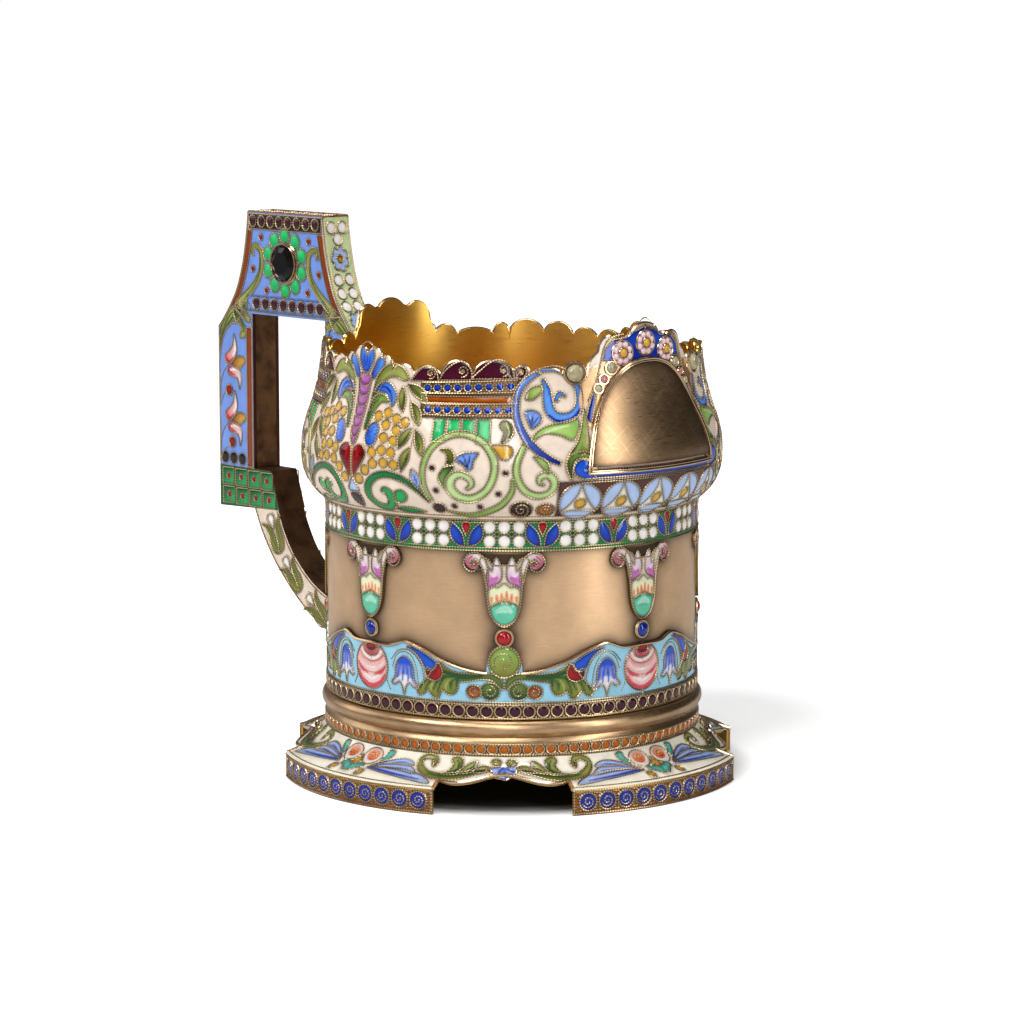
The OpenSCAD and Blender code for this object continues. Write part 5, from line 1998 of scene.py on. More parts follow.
        p.cell(oval(5.75, 22.1, 1.5, 1.35), Tone.OCHRE, Tone.RUST)
        p.line(curl(5.75, 22.1, 1.0, 0.2, 100, -430), 0.16)
        p.cell(smooth([(11.9, 25.8), (12.3, 24.4), (13.6, 23.8), (14.9, 24.2), (15.5, 25.2), (15.3, 26.3),
                       (14.3, 26.0), (13.3, 26.5), (12.8, 27.4)], 3, True), Tone.RED, Tone.RED_DARK)
        p.cell(smooth([(13.2, 27.2), (13.5, 26.1), (14.8, 25.7), (15.9, 26.5), (16.6, 27.7), (17.8, 29.0),
                       (19.6, 29.8), (18.2, 30.0), (16.3, 29.3), (14.3, 28.2)], 3, True),
               Paint(Tone.BLUE, Tone.BLUE, 0, 0.15))
        for path, wire in ((((15.9, 22.6), (15.9, 25), (17.0, 27.6), (19.2, 29.2), (21.6, 28.9),
                             (23.3, 27)), 0.14),
                           (((16.9, 22.0), (17.3, 25.4), (18.4, 28.0), (20.2, 28.8), (22, 28.0),
                             (23.0, 25.6)), 0.12)):
            p.line(smooth(path, 4), wire)
        p.cell(smooth([(20.1, 27.9), (18.8, 27.2), (18.1, 25.6), (17.9, 23.6), (17.0, 22.2), (18.1, 22.1),
                       (18.9, 22.8), (19.7, 22.1), (20.2, 20.5), (20.6, 22.0), (21.3, 22.9), (22.2, 22.3),
                       (23.2, 22.6), (22.3, 24), (22.2, 25.8), (21.4, 27.3)], 4, True), Tone.BLUE,
               Tone.WHITE)
        p.stroke(((18.6, 26.4), (20.1, 27.2), (21.6, 26.4)), 1.7, Tone.BLUE)
        for path in (((18.8, 26.4), (18.6, 24.9), (18.4, 23.7)), ((19.6, 26.6), (19.4, 24.8), (19.3, 23.2)),
                     ((20.4, 26.6), (20.4, 24.8), (20.6, 23.2)), ((21.2, 26.4), (21.5, 24.8), (21.8, 23.6))):
            p.stroke(path, 0.5, Tone.BLUE)
        p.line(smooth(((23.4, 21), (24.3, 22.6), (24.4, 24)), 3), 0.13)
        q = Pen(p.canvas, p.u + (-1 if p.flip else 1) * EIGHTH, p.v + 25.3, p.flip)
        q.cell(oval(0, 0, 4.5, 4.6, n=32), Paint(Tone.BLUSH, Tone.ROSE, 0, 0.2), wire=0.2)
        q.stroke(((-3.9, -1.4), (-2.4, -3.3), (0, -3.95), (2.4, -3.3), (3.9, -1.4)), 1.3, Tone.CARMINE)
        q.stroke(((-3.3, -1.0), (-1.4, -2.7), (1.2, -3.0), (3.0, -2.0)), 1.3, Tone.BLUSH)
        q.stroke(((-2.2, -1.9), (0.0, -2.7), (2.0, -2.3)), 0.6, Tone.WHITE)
        q.stroke(((-4.0, 0.2), (-2.8, -1.1), (-0.9, -1.7)), 0.9, Tone.CARMINE)
        q.stroke(((-0.9, -1.7), (1.6, -1.3), (3.9, 0.4)), 0.6, Tone.ROSE)
        q.stroke(((-3.6, 1.2), (-2.4, -0.1), (-0.4, -0.8), (1.8, -0.3), (3.8, 1.4)), 0.9, Tone.BLUSH)
        q.stroke(((-1.4, -0.3), (0.4, -0.5), (2.4, 0.3)), 0.5, Tone.WHITE)
        q.line(smooth(((-4.1, 0.6), (-2.9, -0.7), (-0.7, -1.4), (1.7, -0.9), (4.1, 1.0)), 4), 0.11)
        q.stroke(((1.4, 0.2), (2.8, 1.2), (3.5, 2.2)), 0.8, Tone.CARMINE)
        q.stroke(((-3.5, 2.4), (-2.2, 1.1), (0.2, 0.6)), 0.7, Tone.ROSE)
        q.stroke(((-3.0, 3.0), (-1.7, 1.8), (0.3, 1.3), (2.2, 2.0)), 0.7, Tone.WHITE)
        q.line(smooth(((-3.5, 2.4), (-1.9, 1.1), (0.3, 0.7), (2.1, 1.4), (3.5, 2.7)), 4), 0.11)
        q.cell(oval(0.1, 3.0, 2.3, 1.3), Tone.CARMINE, Tone.ROSE, 0.12)
        q.cell(oval(0, 3.5, 1.5, 0.85), Tone.RED_DARK, Tone.RED, 0.13)

    def dots(self) -> None:
        """The band of dark dots over the moulding, and the band of orange dots under it."""
        for name, r, low, high, count, size, tone, slot in (
                ("dot_band", SLEEVE_R + 0.36, 16.9, 19.9, 86, 1.0, Tone.PLUM, "dark_dot_enamel"),
                ("low_dot_band", SLEEVE_R + 0.62, 9.95, 12.35, 104, 0.76, Tone.ORANGE, "orange_dot_enamel")):
            face = Turned(SLEEVE_R, round_wall(r, low, high), 0)
            ground = lathe(((SLEEVE_R - 0.2, low), (r, low), (r, high), (SLEEVE_R - 0.2, high)),
                           Tone.GILT_DARK)
            middle = (low + high) / 2
            dot = dome(face, 0, middle, size, 0.14, tone, 3, 14, -0.1)
            ring = oval(0, middle, size + 0.16, n=16)
            p = even(np.vstack([ring, ring[:1]]), 33)[:-1]
            points, normal = face.raised(p[:, 0], p[:, 1], 0.1)
            wire = tube(points, normal, True, np.where(np.arange(len(p)) % 2, 0.11, 0.17), 5,
                        Tone.SILVER_GILT)
            turns = [360 / count * k for k in range(count)]
            self.bench.place(name, Shape.joined([ground, dot.round_about(turns)]), Finish.ENAMEL, slot, name)
            rails = Canvas(face, gilt(), 0.1)
            for v in (low + 0.17, high - 0.2):
                rails.pen().line(level(0, math.radians(360) * SLEEVE_R, v, 1.0), 0.19)
            grains = []
            for side in (-1, 1):
                grains.append(dome(face, math.pi * SLEEVE_R / count, middle + side * (size + 0.02), 0.24, 0.2,
                                   Tone.SILVER_GILT, 2, 6))
            self.bench.place(name + "_wires", Shape.joined([wire.round_about(turns), rails.wiring(),
                                                            *(g.round_about(turns) for g in grains)]),
                             Finish.WIRE, "silver_gilt")


def garland_edge(u: Array) -> Array:
    """The garland's upper edge, from u 0 at its low middle to the roses.

    Args:
        u: The lengths along the wall.

    Returns:
        The edge's points.
    """
    shares = smooth(GARLAND_SHARES, 6)
    away = 1 - np.abs(u) / EIGHTH
    z = GARLAND_Z + GARLAND_H * np.interp(away, shares[:, 0], shares[:, 1])
    disc = DISC_Z + np.sqrt(np.maximum(0, DISC_R**2 - np.asarray(u) ** 2))
    z = np.where(np.abs(u) < DISC_R, np.maximum(z, disc), z)
    return np.stack([u, z], -1)


# Base

SAUCER_SHARES = ((0.06, 0), (0.2, 0.3), (0.38, 0.55), (0.68, 0.8), (1, 1))


@dataclass
class Base:
    """The sloping base, its four feet and the shells between them."""

    bench: Bench
    foot_r: float = 46.1
    top_z: float = 9.9
    rise: float = 4.9
    foot_half: float = 28.2
    spread: float = 9.6
    edge_r: float = 41.825
    edge_wave: float = 1.425
    edge_angle: float = 12.5
    spiral_pitch: float = 3.93
    spiral_z: float = 2.6
    shell_r: float = 2.35
    shell_z: float = 7.9
    shell_lean: float = 48.0

    def profile(self) -> Profile:
        """The base's upper side, from its outer edge up to the sleeve, by height."""
        line = smooth(SAUCER_SHARES, 8)[::-1]
        return tuple((self.top_z - self.rise * s, SLEEVE_R + self.spread * t,
                      self.top_z - self.rise * s) for t, s in line)

    def edge(self, u: Array) -> Array:
        """The arched edge's line halfway between two feet.

        Args:
            u: The lengths along the base.

        Returns:
            The edge's points.
        """
        d = np.abs(np.degrees(u / SLEEVE_R))
        r = self.edge_r - self.edge_wave * np.cos(np.radians(180 * d / self.edge_angle))
        line = np.asarray(self.profile())
        return np.stack([u, np.interp(-r, -line[:, 1], line[:, 0])], -1)

    def build(self) -> None:
        """A quarter from the middle of one foot to the middle of the next, four times."""
        face = Turned(SLEEVE_R, self.profile(), 45)
        canvas = Canvas(face, Paint(Tone.IVORY), 0.7, 0.0, limits=(-EIGHTH, EIGHTH), backs=14)
        gap = math.radians(45 - self.foot_half) * SLEEVE_R
        for first, last in ((-EIGHTH, -gap), (gap, EIGHTH)):
            canvas.patch(level(first, last, 5.02, 0.2), level(first, last, self.top_z, 0.2), across=0.1)
        u = run(-gap, gap, 0.2)
        canvas.patch(self.edge(u), level(-gap, gap, self.top_z, 0.2), across=0.09)
        for side in (False, True):
            self.gap_half(Pen(canvas, 0, 0, side))
            self.foot_half_drawing(Pen(canvas, EIGHTH * (-1 if side else 1), 0, side), gap)
        canvas.pen().line(level(-EIGHTH, EIGHTH, 9.8), 0.16)
        self.bench.place("base", canvas.sheet().round_about(QUARTERS), Finish.ENAMEL, "base_enamel",
                         "base_saucer")
        edge = self.edge(run(-gap, gap, 0.25))
        edge = np.vstack([[-gap, 5.1], edge, [gap, 5.1]])
        points, normal = face.raised(edge[:, 0], edge[:, 1], -0.1)
        rim = tube(points, normal, False, np.full(len(points), 0.4), 8, Tone.SILVER_GILT)
        self.bench.place("base_rim", rim.round_about(QUARTERS), Finish.POLISHED, "silver_gilt")
        self.bench.place("base_wires", canvas.wiring().round_about(QUARTERS), Finish.WIRE, "silver_gilt")
        self.walls()
        self.shells()

    @staticmethod
    def gap_half(p: Pen) -> None:
        """Acanthus scrolls along the arched edge.

        Args:
            p: A pen for this side.
        """
        p.cell(band(((2.0, 7.6), (4.5, 7.35), (7.5, 6.75), (10.5, 6.5), (13.4, 6.75), (15.2, 7.6),
                     (15.5, 8.6), (14.4, 9.25), (13.1, 9.1), (12.5, 8.4), (12.9, 7.75)),
                    (0.3, 0.7, 0.9, 0.8, 0.75, 0.9, 1.0, 0.8, 1.0, 0.9, 0.5)), Tone.OLIVE, Tone.OLIVE_LIGHT,
               0.15)
        for leafy in (((3.6, 7.3), (2.4, 8.0), (3.4, 8.3), (5.2, 7.9), (6.6, 7.2)),
                      ((5.8, 7.2), (4.8, 8.1), (4.9, 8.9), (5.9, 8.8), (7.6, 7.6), (8.2, 7.0)),
                      ((8.0, 6.9), (7.4, 8.0), (7.5, 9.1), (8.4, 9.6), (9.5, 9.4), (9.6, 8.7), (9.2, 8.2),
                       (9.9, 7.2), (10.9, 6.8))):
            p.cell(smooth(leafy, 3, True), Tone.FOREST, Tone.OLIVE_LIGHT, 0.14)
        for path in (((4.0, 7.3), (7.4, 6.8), (10.6, 6.55), (13.4, 6.8)),
                     ((14.9, 7.6), (15.2, 8.5), (14.4, 9.0)), ((8.6, 7.2), (8.2, 8.2), (8.6, 9.0)),
                     ((6.0, 7.5), (5.4, 8.4))):
            p.stroke(path, 0.34, Tone.FOREST)
        p.dot(12.95, 8.35, 0.38, Tone.BROWN, wire=0.1)
        p.cell(oval(1.4, 8.75, 1.0, 0.62), Tone.OLIVE_LIGHT, Tone.OLIVE, 0.13)
        p.line(curl(1.35, 8.75, 0.5, 0.15, 90, 360), 0.12)
        p.cell(smooth([(0.5, 7.5), (0.7, 8.1), (1.5, 8.15), (2.4, 7.85), (2.2, 7.6)], 3, True), Tone.OLIVE,
               wire=0.12)

    @staticmethod
    def foot_half_drawing(p: Pen, gap: float) -> None:
        """Half of a foot's flowers: three blue fingers, a rose, a leaf and the gold drops.

        Args:
            p: A pen for this side.
            gap: Half the arc between two feet.
        """
        fingers = ((((-3.6, 6.5), (-5.5, 6.25), (-9.5, 6.0), (-13, 5.75), (-16.6, 5.5), (-16.2, 5.95),
                     (-13.8, 6.6), (-10.8, 6.9), (-7, 6.85)), ((-4.6, 6.5), (-9, 6.3), (-14.6, 5.95))),
                   (((-3.8, 6.6), (-6.6, 6.75), (-10, 6.7), (-13, 6.5), (-12.6, 7.1), (-10.8, 7.55),
                     (-8, 7.5), (-5.6, 7.05)), ((-4.8, 6.7), (-8, 6.95), (-11.4, 7.0))),
                   (((-4.0, 6.75), (-6.5, 7.3), (-9.4, 7.5), (-12.2, 7.55), (-11.6, 8.1), (-10.2, 8.45),
                     (-8.4, 8.3), (-6, 7.6)), ((-5.2, 7.05), (-7.8, 7.7), (-10.2, 7.95))))
        for outline, streak in fingers:
            p.cell(smooth(outline, 3, True), Paint(Tone.BLUE, Tone.PALE_BLUE, 0, 0.1, 0.4), wire=0.15)
            p.stroke(streak, 0.26, Tone.COBALT)
            p.stroke(np.asarray(streak) + [-0.6, 0.2], 0.2, Tone.PALE_BLUE)
        p.cell(smooth([(-5.2, 7.3), (-6.2, 7.8), (-7.0, 8.6), (-7.1, 9.2), (-6.4, 9.5), (-5.6, 9.3),
                       (-5.5, 8.5), (-5.0, 7.9)], 3, True), Tone.TEAL, wire=0.13)
        p.cell(smooth([(0, 5.8), (-0.8, 5.75), (-1.6, 6.1), (-2.6, 6.4), (-2.3, 6.9), (-1.2, 6.75),
                       (0, 6.9)], 3, True), Tone.TEAL, wire=0.13)
        p.cell(oval(-2.6, 8.1, 2.1, 1.3), Paint(Tone.WHITE, Tone.BLUSH, 0, 0.1, 0.35), wire=0.15)
        p.cell(oval(-2.6, 8.15, 1.4, 0.86), Paint(Tone.FLAME, Tone.CORAL_LIGHT, 0, 0.07, 0.2), wire=0)
        flat = 0.62
        p.line(curl(-2.6, 8.2, 0.95, 0.25, 200, 400) * [1, flat] + [0, 8.2 * (1 - flat)], 0.13)
        p.cell(oval(-3.2, 5.82, 0.75, 0.36), Tone.GOLD_ENAMEL, wire=0.11)
        p.cell(blob((0, 6.5), (-0.8, 6.7), (-0.9, 7.1), (-0.4, 7.5), (0, 8.0), (0.4, 7.5), (0.9, 7.1),
                    (0.8, 6.7)), Tone.GOLD_ENAMEL, wire=0.12)
        p.line(even(poly((0, 5.25), (-EIGHTH + gap + 0.4, 5.25)), 60), 0.17)

    def walls(self) -> None:
        """The feet's upright walls with their row of blue spirals."""
        r = self.foot_r - 0.25
        half = math.radians(self.foot_half) * r
        face = Turned(r, round_wall(r, 0, 5), 0)
        canvas = Canvas(face, Paint(Tone.OCHRE, None, 0.35), 0.6, 0.0)
        canvas.patch(level(-half, half, 0.02, FINE), level(-half, half, 4.95, FINE))
        pen = canvas.pen()
        for k in range(-6, 6):
            u = (k + 0.5) * self.spiral_pitch
            for v, way in ((4.25, -1), (0.95, 1)):
                pen.cell(poly((u - 0.75, v), (u + 0.75, v), (u, v + way * 0.95)), Tone.ORANGE, Tone.OCHRE,
                         0.1)
        for k in range(-5, 6):
            u = k * self.spiral_pitch
            pen.cell(oval(u, self.spiral_z, 1.75), Paint(Tone.COBALT, None, 0, 0.12), wire=0.2)
            pen.line(curl(u, self.spiral_z, 1.25, 0.2, 200, 560), 0.18)
        for v in (4.75, 0.35):
            pen.line(level(-half, half, v), 0.22)
        for u in (-half + 0.2, half - 0.2):
            pen.line(even(poly((u, 0.3), (u, 4.8)), 12), 0.2)
        self.bench.place("foot_walls", canvas.sheet().round_about(QUARTERS), Finish.ENAMEL, "foot_enamel",
                         *(f"foot_wall_{k}" for k in (1, 2, 3, 4)))
        self.bench.place("foot_wires", canvas.wiring().round_about(QUARTERS), Finish.WIRE, "silver_gilt")

    def shells(self) -> None:
        """A blue scallop over the edge between two feet: seven ribs that fan out from its top."""
        face = Turned(SLEEVE_R, self.profile(), 45)
        a = np.radians(np.linspace(-180, 0, 57))
        ripple = 3.5 * (a + np.pi)
        reach = self.shell_r * (1 + 0.1 * np.abs(np.cos(ripple)))
        share = np.linspace(0, 1, 8)[:, None]
        x, y = share * reach * np.cos(a), share * reach * np.sin(a)
        rib = 0.22 * np.abs(np.sin(ripple)) * share + 0.5 - 0.35 * share**2
        lean = math.radians(self.shell_lean)
        centre, _ = face.raised(np.array([0.0]), np.array([self.shell_z]), 0.0)
        out, side, up = np.array([[1, 1, 0], [-1, 1, 0], [0, 0, math.sqrt(2)]]) * math.sqrt(0.5)
        down = out * math.cos(lean) - up * math.sin(lean)
        n = out * math.sin(lean) + up * math.cos(lean)
        top = centre[0] + side * x[..., None] - down * y[..., None] + n * rib[..., None]
        under = centre[0] + side * x[..., None] - down * y[..., None] - n * 0.1
        grid = np.concatenate([top, under[::-1]])
        rows, cols = grid.shape[:2]
        faces = [quads(rows, cols, True)[:, ::-1]]
        shape = Shape.plain(grid.reshape(-1, 3), faces, Tone.PERIWINKLE, 0.0)
        dark = np.abs(np.sin(ripple))[None, :] * share
        tint = Tone.COBALT.light * (1 - dark[..., None]) + Tone.PALE_BLUE.light * dark[..., None]
        shape.tint = np.vstack([tint.reshape(-1, 3), tint[::-1].reshape(-1, 3)])
        self.bench.place("base_shells", shape.round_about(QUARTERS), Finish.ENAMEL, "shell_enamel",
                         *(f"base_shell_{k}" for k in (1, 2, 3, 4)))
        border = top[-1]
        wire = tube(border, np.broadcast_to(n, border.shape), False, np.full(len(border), 0.2), 6,
                    Tone.SILVER_GILT)
        self.bench.place("shell_rims", wire.round_about(QUARTERS), Finish.POLISHED, "silver_gilt")


# Handle

FLARE_SHARES = ((0, 1), (0.045, 0.85), (0.165, 0.6), (0.36, 0.365), (0.6, 0.2), (0.87, 0.055), (1, 0))


@dataclass
class Handle:
    """The flat pierced handle: two enamelled sides, narrow straps, a block and a curved arm."""

    bench: Bench
    half_t: float = 3.5
    outer: float = 89.3
    middle: float = 66.4
    top_half: float = 12.5
    top_z: float = 107.5
    shoulder: float = 82.5
    flare_h: float = 24.2
    reach: float = 10.4
    cup_side_low: float = 60.1
    foot_z: float = 74.2
    stone_z: float = 97.04
    window: tuple[float, float, float, float] = (53.3, 77.5, 52.5, 85.8)

    def flare(self, z: Array, side: int) -> Array:
        """The flared edge's radius at some height: near the cup for side -1, far from it for 1.

        Args:
            z: The heights.
            side: Which edge.

        Returns:
            The radii.
        """
        shares = smooth(FLARE_SHARES, 5)
        rise = (np.asarray(z) - self.shoulder) / self.flare_h
        out = np.interp(rise, shares[::-1, 1], shares[::-1, 0], left=1, right=0)
        return self.middle + side * (self.top_half + self.reach * out)

    def build(self) -> None:
        """Both sides, then the straps, the block, the arm and the stones."""
        sheets, wires = [], []
        for y in (-self.half_t, self.half_t):
            canvas = self.side(Side(y))
            sheets.append(canvas.sheet())
            wires.append(canvas.wiring())
        self.bench.place("handle_sides", Shape.joined(sheets), Finish.ENAMEL, "handle_enamel",
                         "handle_front_plate", "handle_back_plate")
        self.bench.place("handle_wires", Shape.joined(wires), Finish.WIRE, "silver_gilt")
        self.straps()
        self.block_and_arm()
        self.stones()
        self.bench.dress(Finish.BRONZE, "window_lining", "handle_inner_strip", "handle_outer_strip",
                         "handle_top_cap", "arm_inner_strip", "arm_outer_strip", "handle_block",
                         "arm_front_plate", "arm_back_plate")

    def side(self, face: Side) -> Canvas:
        """One flat side, from the top down to the block.

        Args:
            face: The side's face.

        Returns:
            The drawn canvas.
        """
        canvas = Canvas(face, Paint(Tone.PERIWINKLE), 0.78, 0.02, hidden=Tone.UMBER)
        in_r, out_r, low, high = self.window
        z = run(high, self.top_z - 0.1, FINE)
        left, right = self.flare(z, -1), self.flare(z, 1)
        canvas.patch(np.stack([left + 0.05, z], -1), np.stack([right - 0.05, z], -1))
        z = run(low, high, FINE)
        edge = np.where(z > self.shoulder, self.flare(z, 1), self.outer) - 0.05
        canvas.patch(np.stack([0 * z + out_r, z], -1), np.stack([edge, z], -1))
        z = run(self.cup_side_low, high, FINE)
        line = np.asarray(collar_profile())
        near = np.interp(z, line[:, 2], line[:, 1]) - 0.5
        foot = np.interp(z, (self.foot_z, self.shoulder),
                         (SLEEVE_R, self.middle - self.top_half - self.reach))
        near = np.maximum(near, np.where(z > self.foot_z, foot, 0))
        near = np.where(z > self.shoulder, self.flare(z, -1) + 0.05, near)
        canvas.patch(np.stack([near, z], -1), np.stack([0 * z + in_r, z], -1))
        pen = canvas.pen()
        self.top(pen)
        self.post(pen)
        z = run(self.shoulder, self.top_z - 0.3, 0.5)
        for path in (np.stack([self.flare(z, -1) + 0.25, z], -1),
                     np.stack([self.flare(z, 1) - 0.25, z], -1),
                     poly((out_r + 0.25, low), (out_r + 0.25, high)),
                     poly((in_r - 0.25, 76.0), (in_r - 0.25, high)),
                     poly((self.outer - 0.3, low), (self.outer - 0.3, self.shoulder))):
            pen.line(even(path, 80), 0.19)
        return canvas

    def top(self, pen: Pen) -> None:
        """The flared top: a dark band of dots, rust borders, the stone's green ring and two scrolls.

        Args:
            pen: A pen on the side.
        """
        z = np.linspace(86.8, self.top_z - 3.9, 40)
        for side in (-1, 1):
            r = self.flare(z, side)
            inner = np.stack([r - side * 0.45, z], -1)
            outer = np.stack([r - side * 2.05, z], -1)
            pen.cell(np.vstack([inner, outer[::-1]]), Tone.RUST, Tone.RUST, 0.15)
        pen.cell(poly((54.4, 103.9), (78.4, 103.9), (78.6, 107.1), (54.2, 107.1)),
                 Paint(Tone.BROWN, None, 0.3), wire=0.18)
        for k in range(8):
            pen.dot(77.0 - 2.95 * k, 105.55, 1.22, Tone.BROWN, Tone.MAROON, 0.2)
        for k in range(10):
            a = math.radians(36 * k + 90)
            u, v = self.middle + 5.75 * math.cos(a), self.stone_z + 5.75 * math.sin(a)
            pen.cell(oval(u, v, 1.66), Paint(Tone.EMERALD, Tone.JADE, 0, 0.15), wire=0.14)
        for u, v in ((74.3, 102.2), (58.5, 102.0), (77.1, 95.4), (72.6, 91.0), (58.9, 91.2), (55.2, 95.2)):
            pen.dot(u, v, 0.72, Tone.RED_DARK, Tone.RED, 0.15)
        for flip in (False, True):
            p = Pen(pen.canvas, self.middle, 0, flip)
            p.cell(smooth([(15.2, 88.0), (18.2, 86.7), (20.0, 84.9), (21.5, 83.2), (22.4, 81.4), (22.6, 78.8),
                           (22.5, 75.6), (22.0, 77.9), (21.2, 80.2), (19.9, 82.0), (18.0, 83.3), (16.6, 83.6),
                           (15.4, 84.6), (14.6, 86.4)], 3, True), Tone.OLIVE_LIGHT, Tone.OLIVE_DARK, 0.16)
            fingers = ([(17.2, 87.2), (14.5, 88.4), (12.6, 88.2), (11.6, 87.2), (12.3, 86.4), (13.8, 86.6)],
                       [(17.0, 86.9), (14.8, 86.5), (12.9, 85.8), (11.8, 84.7), (12.4, 83.8), (13.6, 84.2),
                        (15.2, 85.4)],
                       [(17.4, 86.4), (15.6, 85.2), (14.2, 83.6), (13.3, 82.2), (13.5, 80.9), (14.8, 80.3),
                        (15.6, 80.8), (15.0, 81.9), (15.7, 83.2), (17.2, 84.4)])
            for finger in fingers[: 2 if flip else 3]:
                p.cell(smooth(np.asarray(finger) + [1.3 if flip else 0, 0], 3, True), Tone.FOREST,
                       Tone.OLIVE_LIGHT, 0.14)
            for path in (((15.8, 86.9), (18.6, 85.2), (20.6, 82.8), (21.8, 79.6)),
                         ((15.6, 86.2), (17.6, 84.8), (19.8, 82.8)), ((16.4, 87.2), (13.4, 87.4)),
                         ((16.2, 86.6), (13.4, 85.0)), ((16.4, 86.0), (14.6, 83.6), (14.2, 81.6))):
                p.stroke(path, 0.42, Tone.FOREST)
            p.cell(band(((10.3, 98.4), (11.1, 99.1), (10.7, 100.0), (9.3, 100.2), (8.0, 99.2), (7.7, 97.3),
                         (8.2, 94.8), (10.0, 92.2), (12.8, 89.8), (16.2, 87.3)),
                        (0.4, 1.0, 1.2, 1.3, 1.3, 1.3, 1.3, 1.5, 1.8, 2.0)), Tone.OLIVE, Tone.OLIVE_LIGHT,
                   0.15)
            p.stroke(((8.3, 98.2), (8.1, 96.2), (9.0, 93.6), (11.2, 91.0), (14.6, 88.2)), 0.36, Tone.FOREST)
            p.stroke(((9.4, 92.2), (11.6, 89.8), (15.0, 87.4)), 0.3, Tone.FOREST)
        pen.cell(poly((53.4, 86.5), (79.2, 86.5), (79.2, 89.7), (53.4, 89.7)),
                 Paint(Tone.PERIWINKLE, None, 0, 0), wire=0)
        for k in range(8):
            pen.dot(54.95 + 3.01 * k, 88.1, 1.3, Tone.BROWN, Tone.MAROON, 0.17)
        pen.line(level(52.2, 78.9, 86.3, 0.5), 0.16)

    def post(self, pen: Pen) -> None:
        """The outer post: a rust border, curved stems with red berries and pale flame petals.

        Args:
            pen: A pen on the side.
        """
        in_r, out_r, low, _ = self.window
        for side, r, bottom in ((1, out_r, low), (-1, in_r, 60.4)):
            pen.cell(poly((r + side * 0.25, bottom + 0.2), (r + side * 2.1, bottom + 0.2),
                          (r + side * 2.1, 82.7), (r + side * 0.25, 82.7)), Tone.RUST, Tone.RUST, 0.16)
        pen.line(even(poly((self.outer - 0.35, low + 0.2), (self.outer - 0.35, self.shoulder)), 80), 0.2)
        for lift in (0.0, -12.2):
            p = Pen(pen.canvas, 0, lift)
            p.line(smooth(((85.9, 74.3), (87.5, 72.7), (88.6, 70.2), (88.8, 66.8)), 5), 0.15)
            p.line(smooth(((86.6, 68.6), (87.8, 67.6), (88.8, 65.4)), 5), 0.13)
            p.cell(blob((80.0, 75.6), (82.4, 76.4), (84.9, 74.7), (82.6, 73.4)), Tone.GOLD_ENAMEL,
                   Tone.OCHRE, 0.12)
            p.cell(smooth([(83.9, 81.0), (83.1, 79.2), (83.0, 77.3), (84.0, 75.4), (85.7, 74.5),
                           (87.0, 75.1), (86.8, 76.5), (85.5, 77.4), (84.5, 78.4), (84.1, 79.8)], 4, True),
                   Tone.WHITE, Tone.CARMINE, 0.15)
            p.stroke(((84.2, 75.9), (85.6, 75.0), (86.6, 75.5)), 0.6, Tone.RED)
            p.stroke(((83.6, 79.0), (83.6, 77.4), (84.4, 76.4)), 0.5, Tone.WHITE)
            p.cell(smooth([(82.1, 69.2), (81.5, 71.0), (81.7, 72.8), (83.1, 74.0), (84.9, 74.2), (86.1, 73.4),
                           (85.8, 72.2), (84.4, 71.7), (83.0, 71.6), (82.4, 70.5)], 4, True), Tone.WHITE,
                   Tone.CARMINE, 0.15)
            p.stroke(((82.4, 73.0), (83.8, 73.4), (85.4, 73.2)), 0.5, Tone.WHITE)
            p.stroke(((83.6, 72.2), (84.8, 72.4), (85.6, 72.9)), 0.5, Tone.RED)
        pen.dot(85.7, 68.8, 1.15, Tone.RED_DARK, Tone.RED, 0.18)
        pen.dot(84.8, 57.6, 1.15, Tone.RED_DARK, Tone.RED, 0.18)
        for k in range(3):
            pen.dot(87.4 - 2.92 * k, 54.15, 1.32, Tone.BLACK, Tone.BROWN, 0.1)
        for v in (66, 74):
            pen.cell(leaf((50.5, v - 3), (51.2, v + 4), 1.7, 0.1), Tone.FOREST, Tone.LEAF, 0.13)

    def strap(self, line: Line, hand: float, ground: Tone) -> Canvas:
        """A narrow strap between the two sides, with a wire along each edge.

        Args:
            line: Radius and height along it.
            hand: Which way it looks.
            ground: Its enamel.

        Returns:
            The canvas, with its two wires.
        """
        face = Strap(tuple(map(tuple, line)), hand)
        length = length_of(np.asarray(line, float))
        canvas = Canvas(face, Paint(ground), 0.3, 0.03)
        v = run(0, length, FINE)
        canvas.patch(np.stack([0 * v - self.half_t + 0.1, v], -1),
                     np.stack([0 * v + self.half_t - 0.1, v], -1))
        for u in (-self.half_t + 0.3, self.half_t - 0.3):
            canvas.pen().line(even(poly((u, 0), (u, length)), int(length * 2)), 0.17)
        return canvas

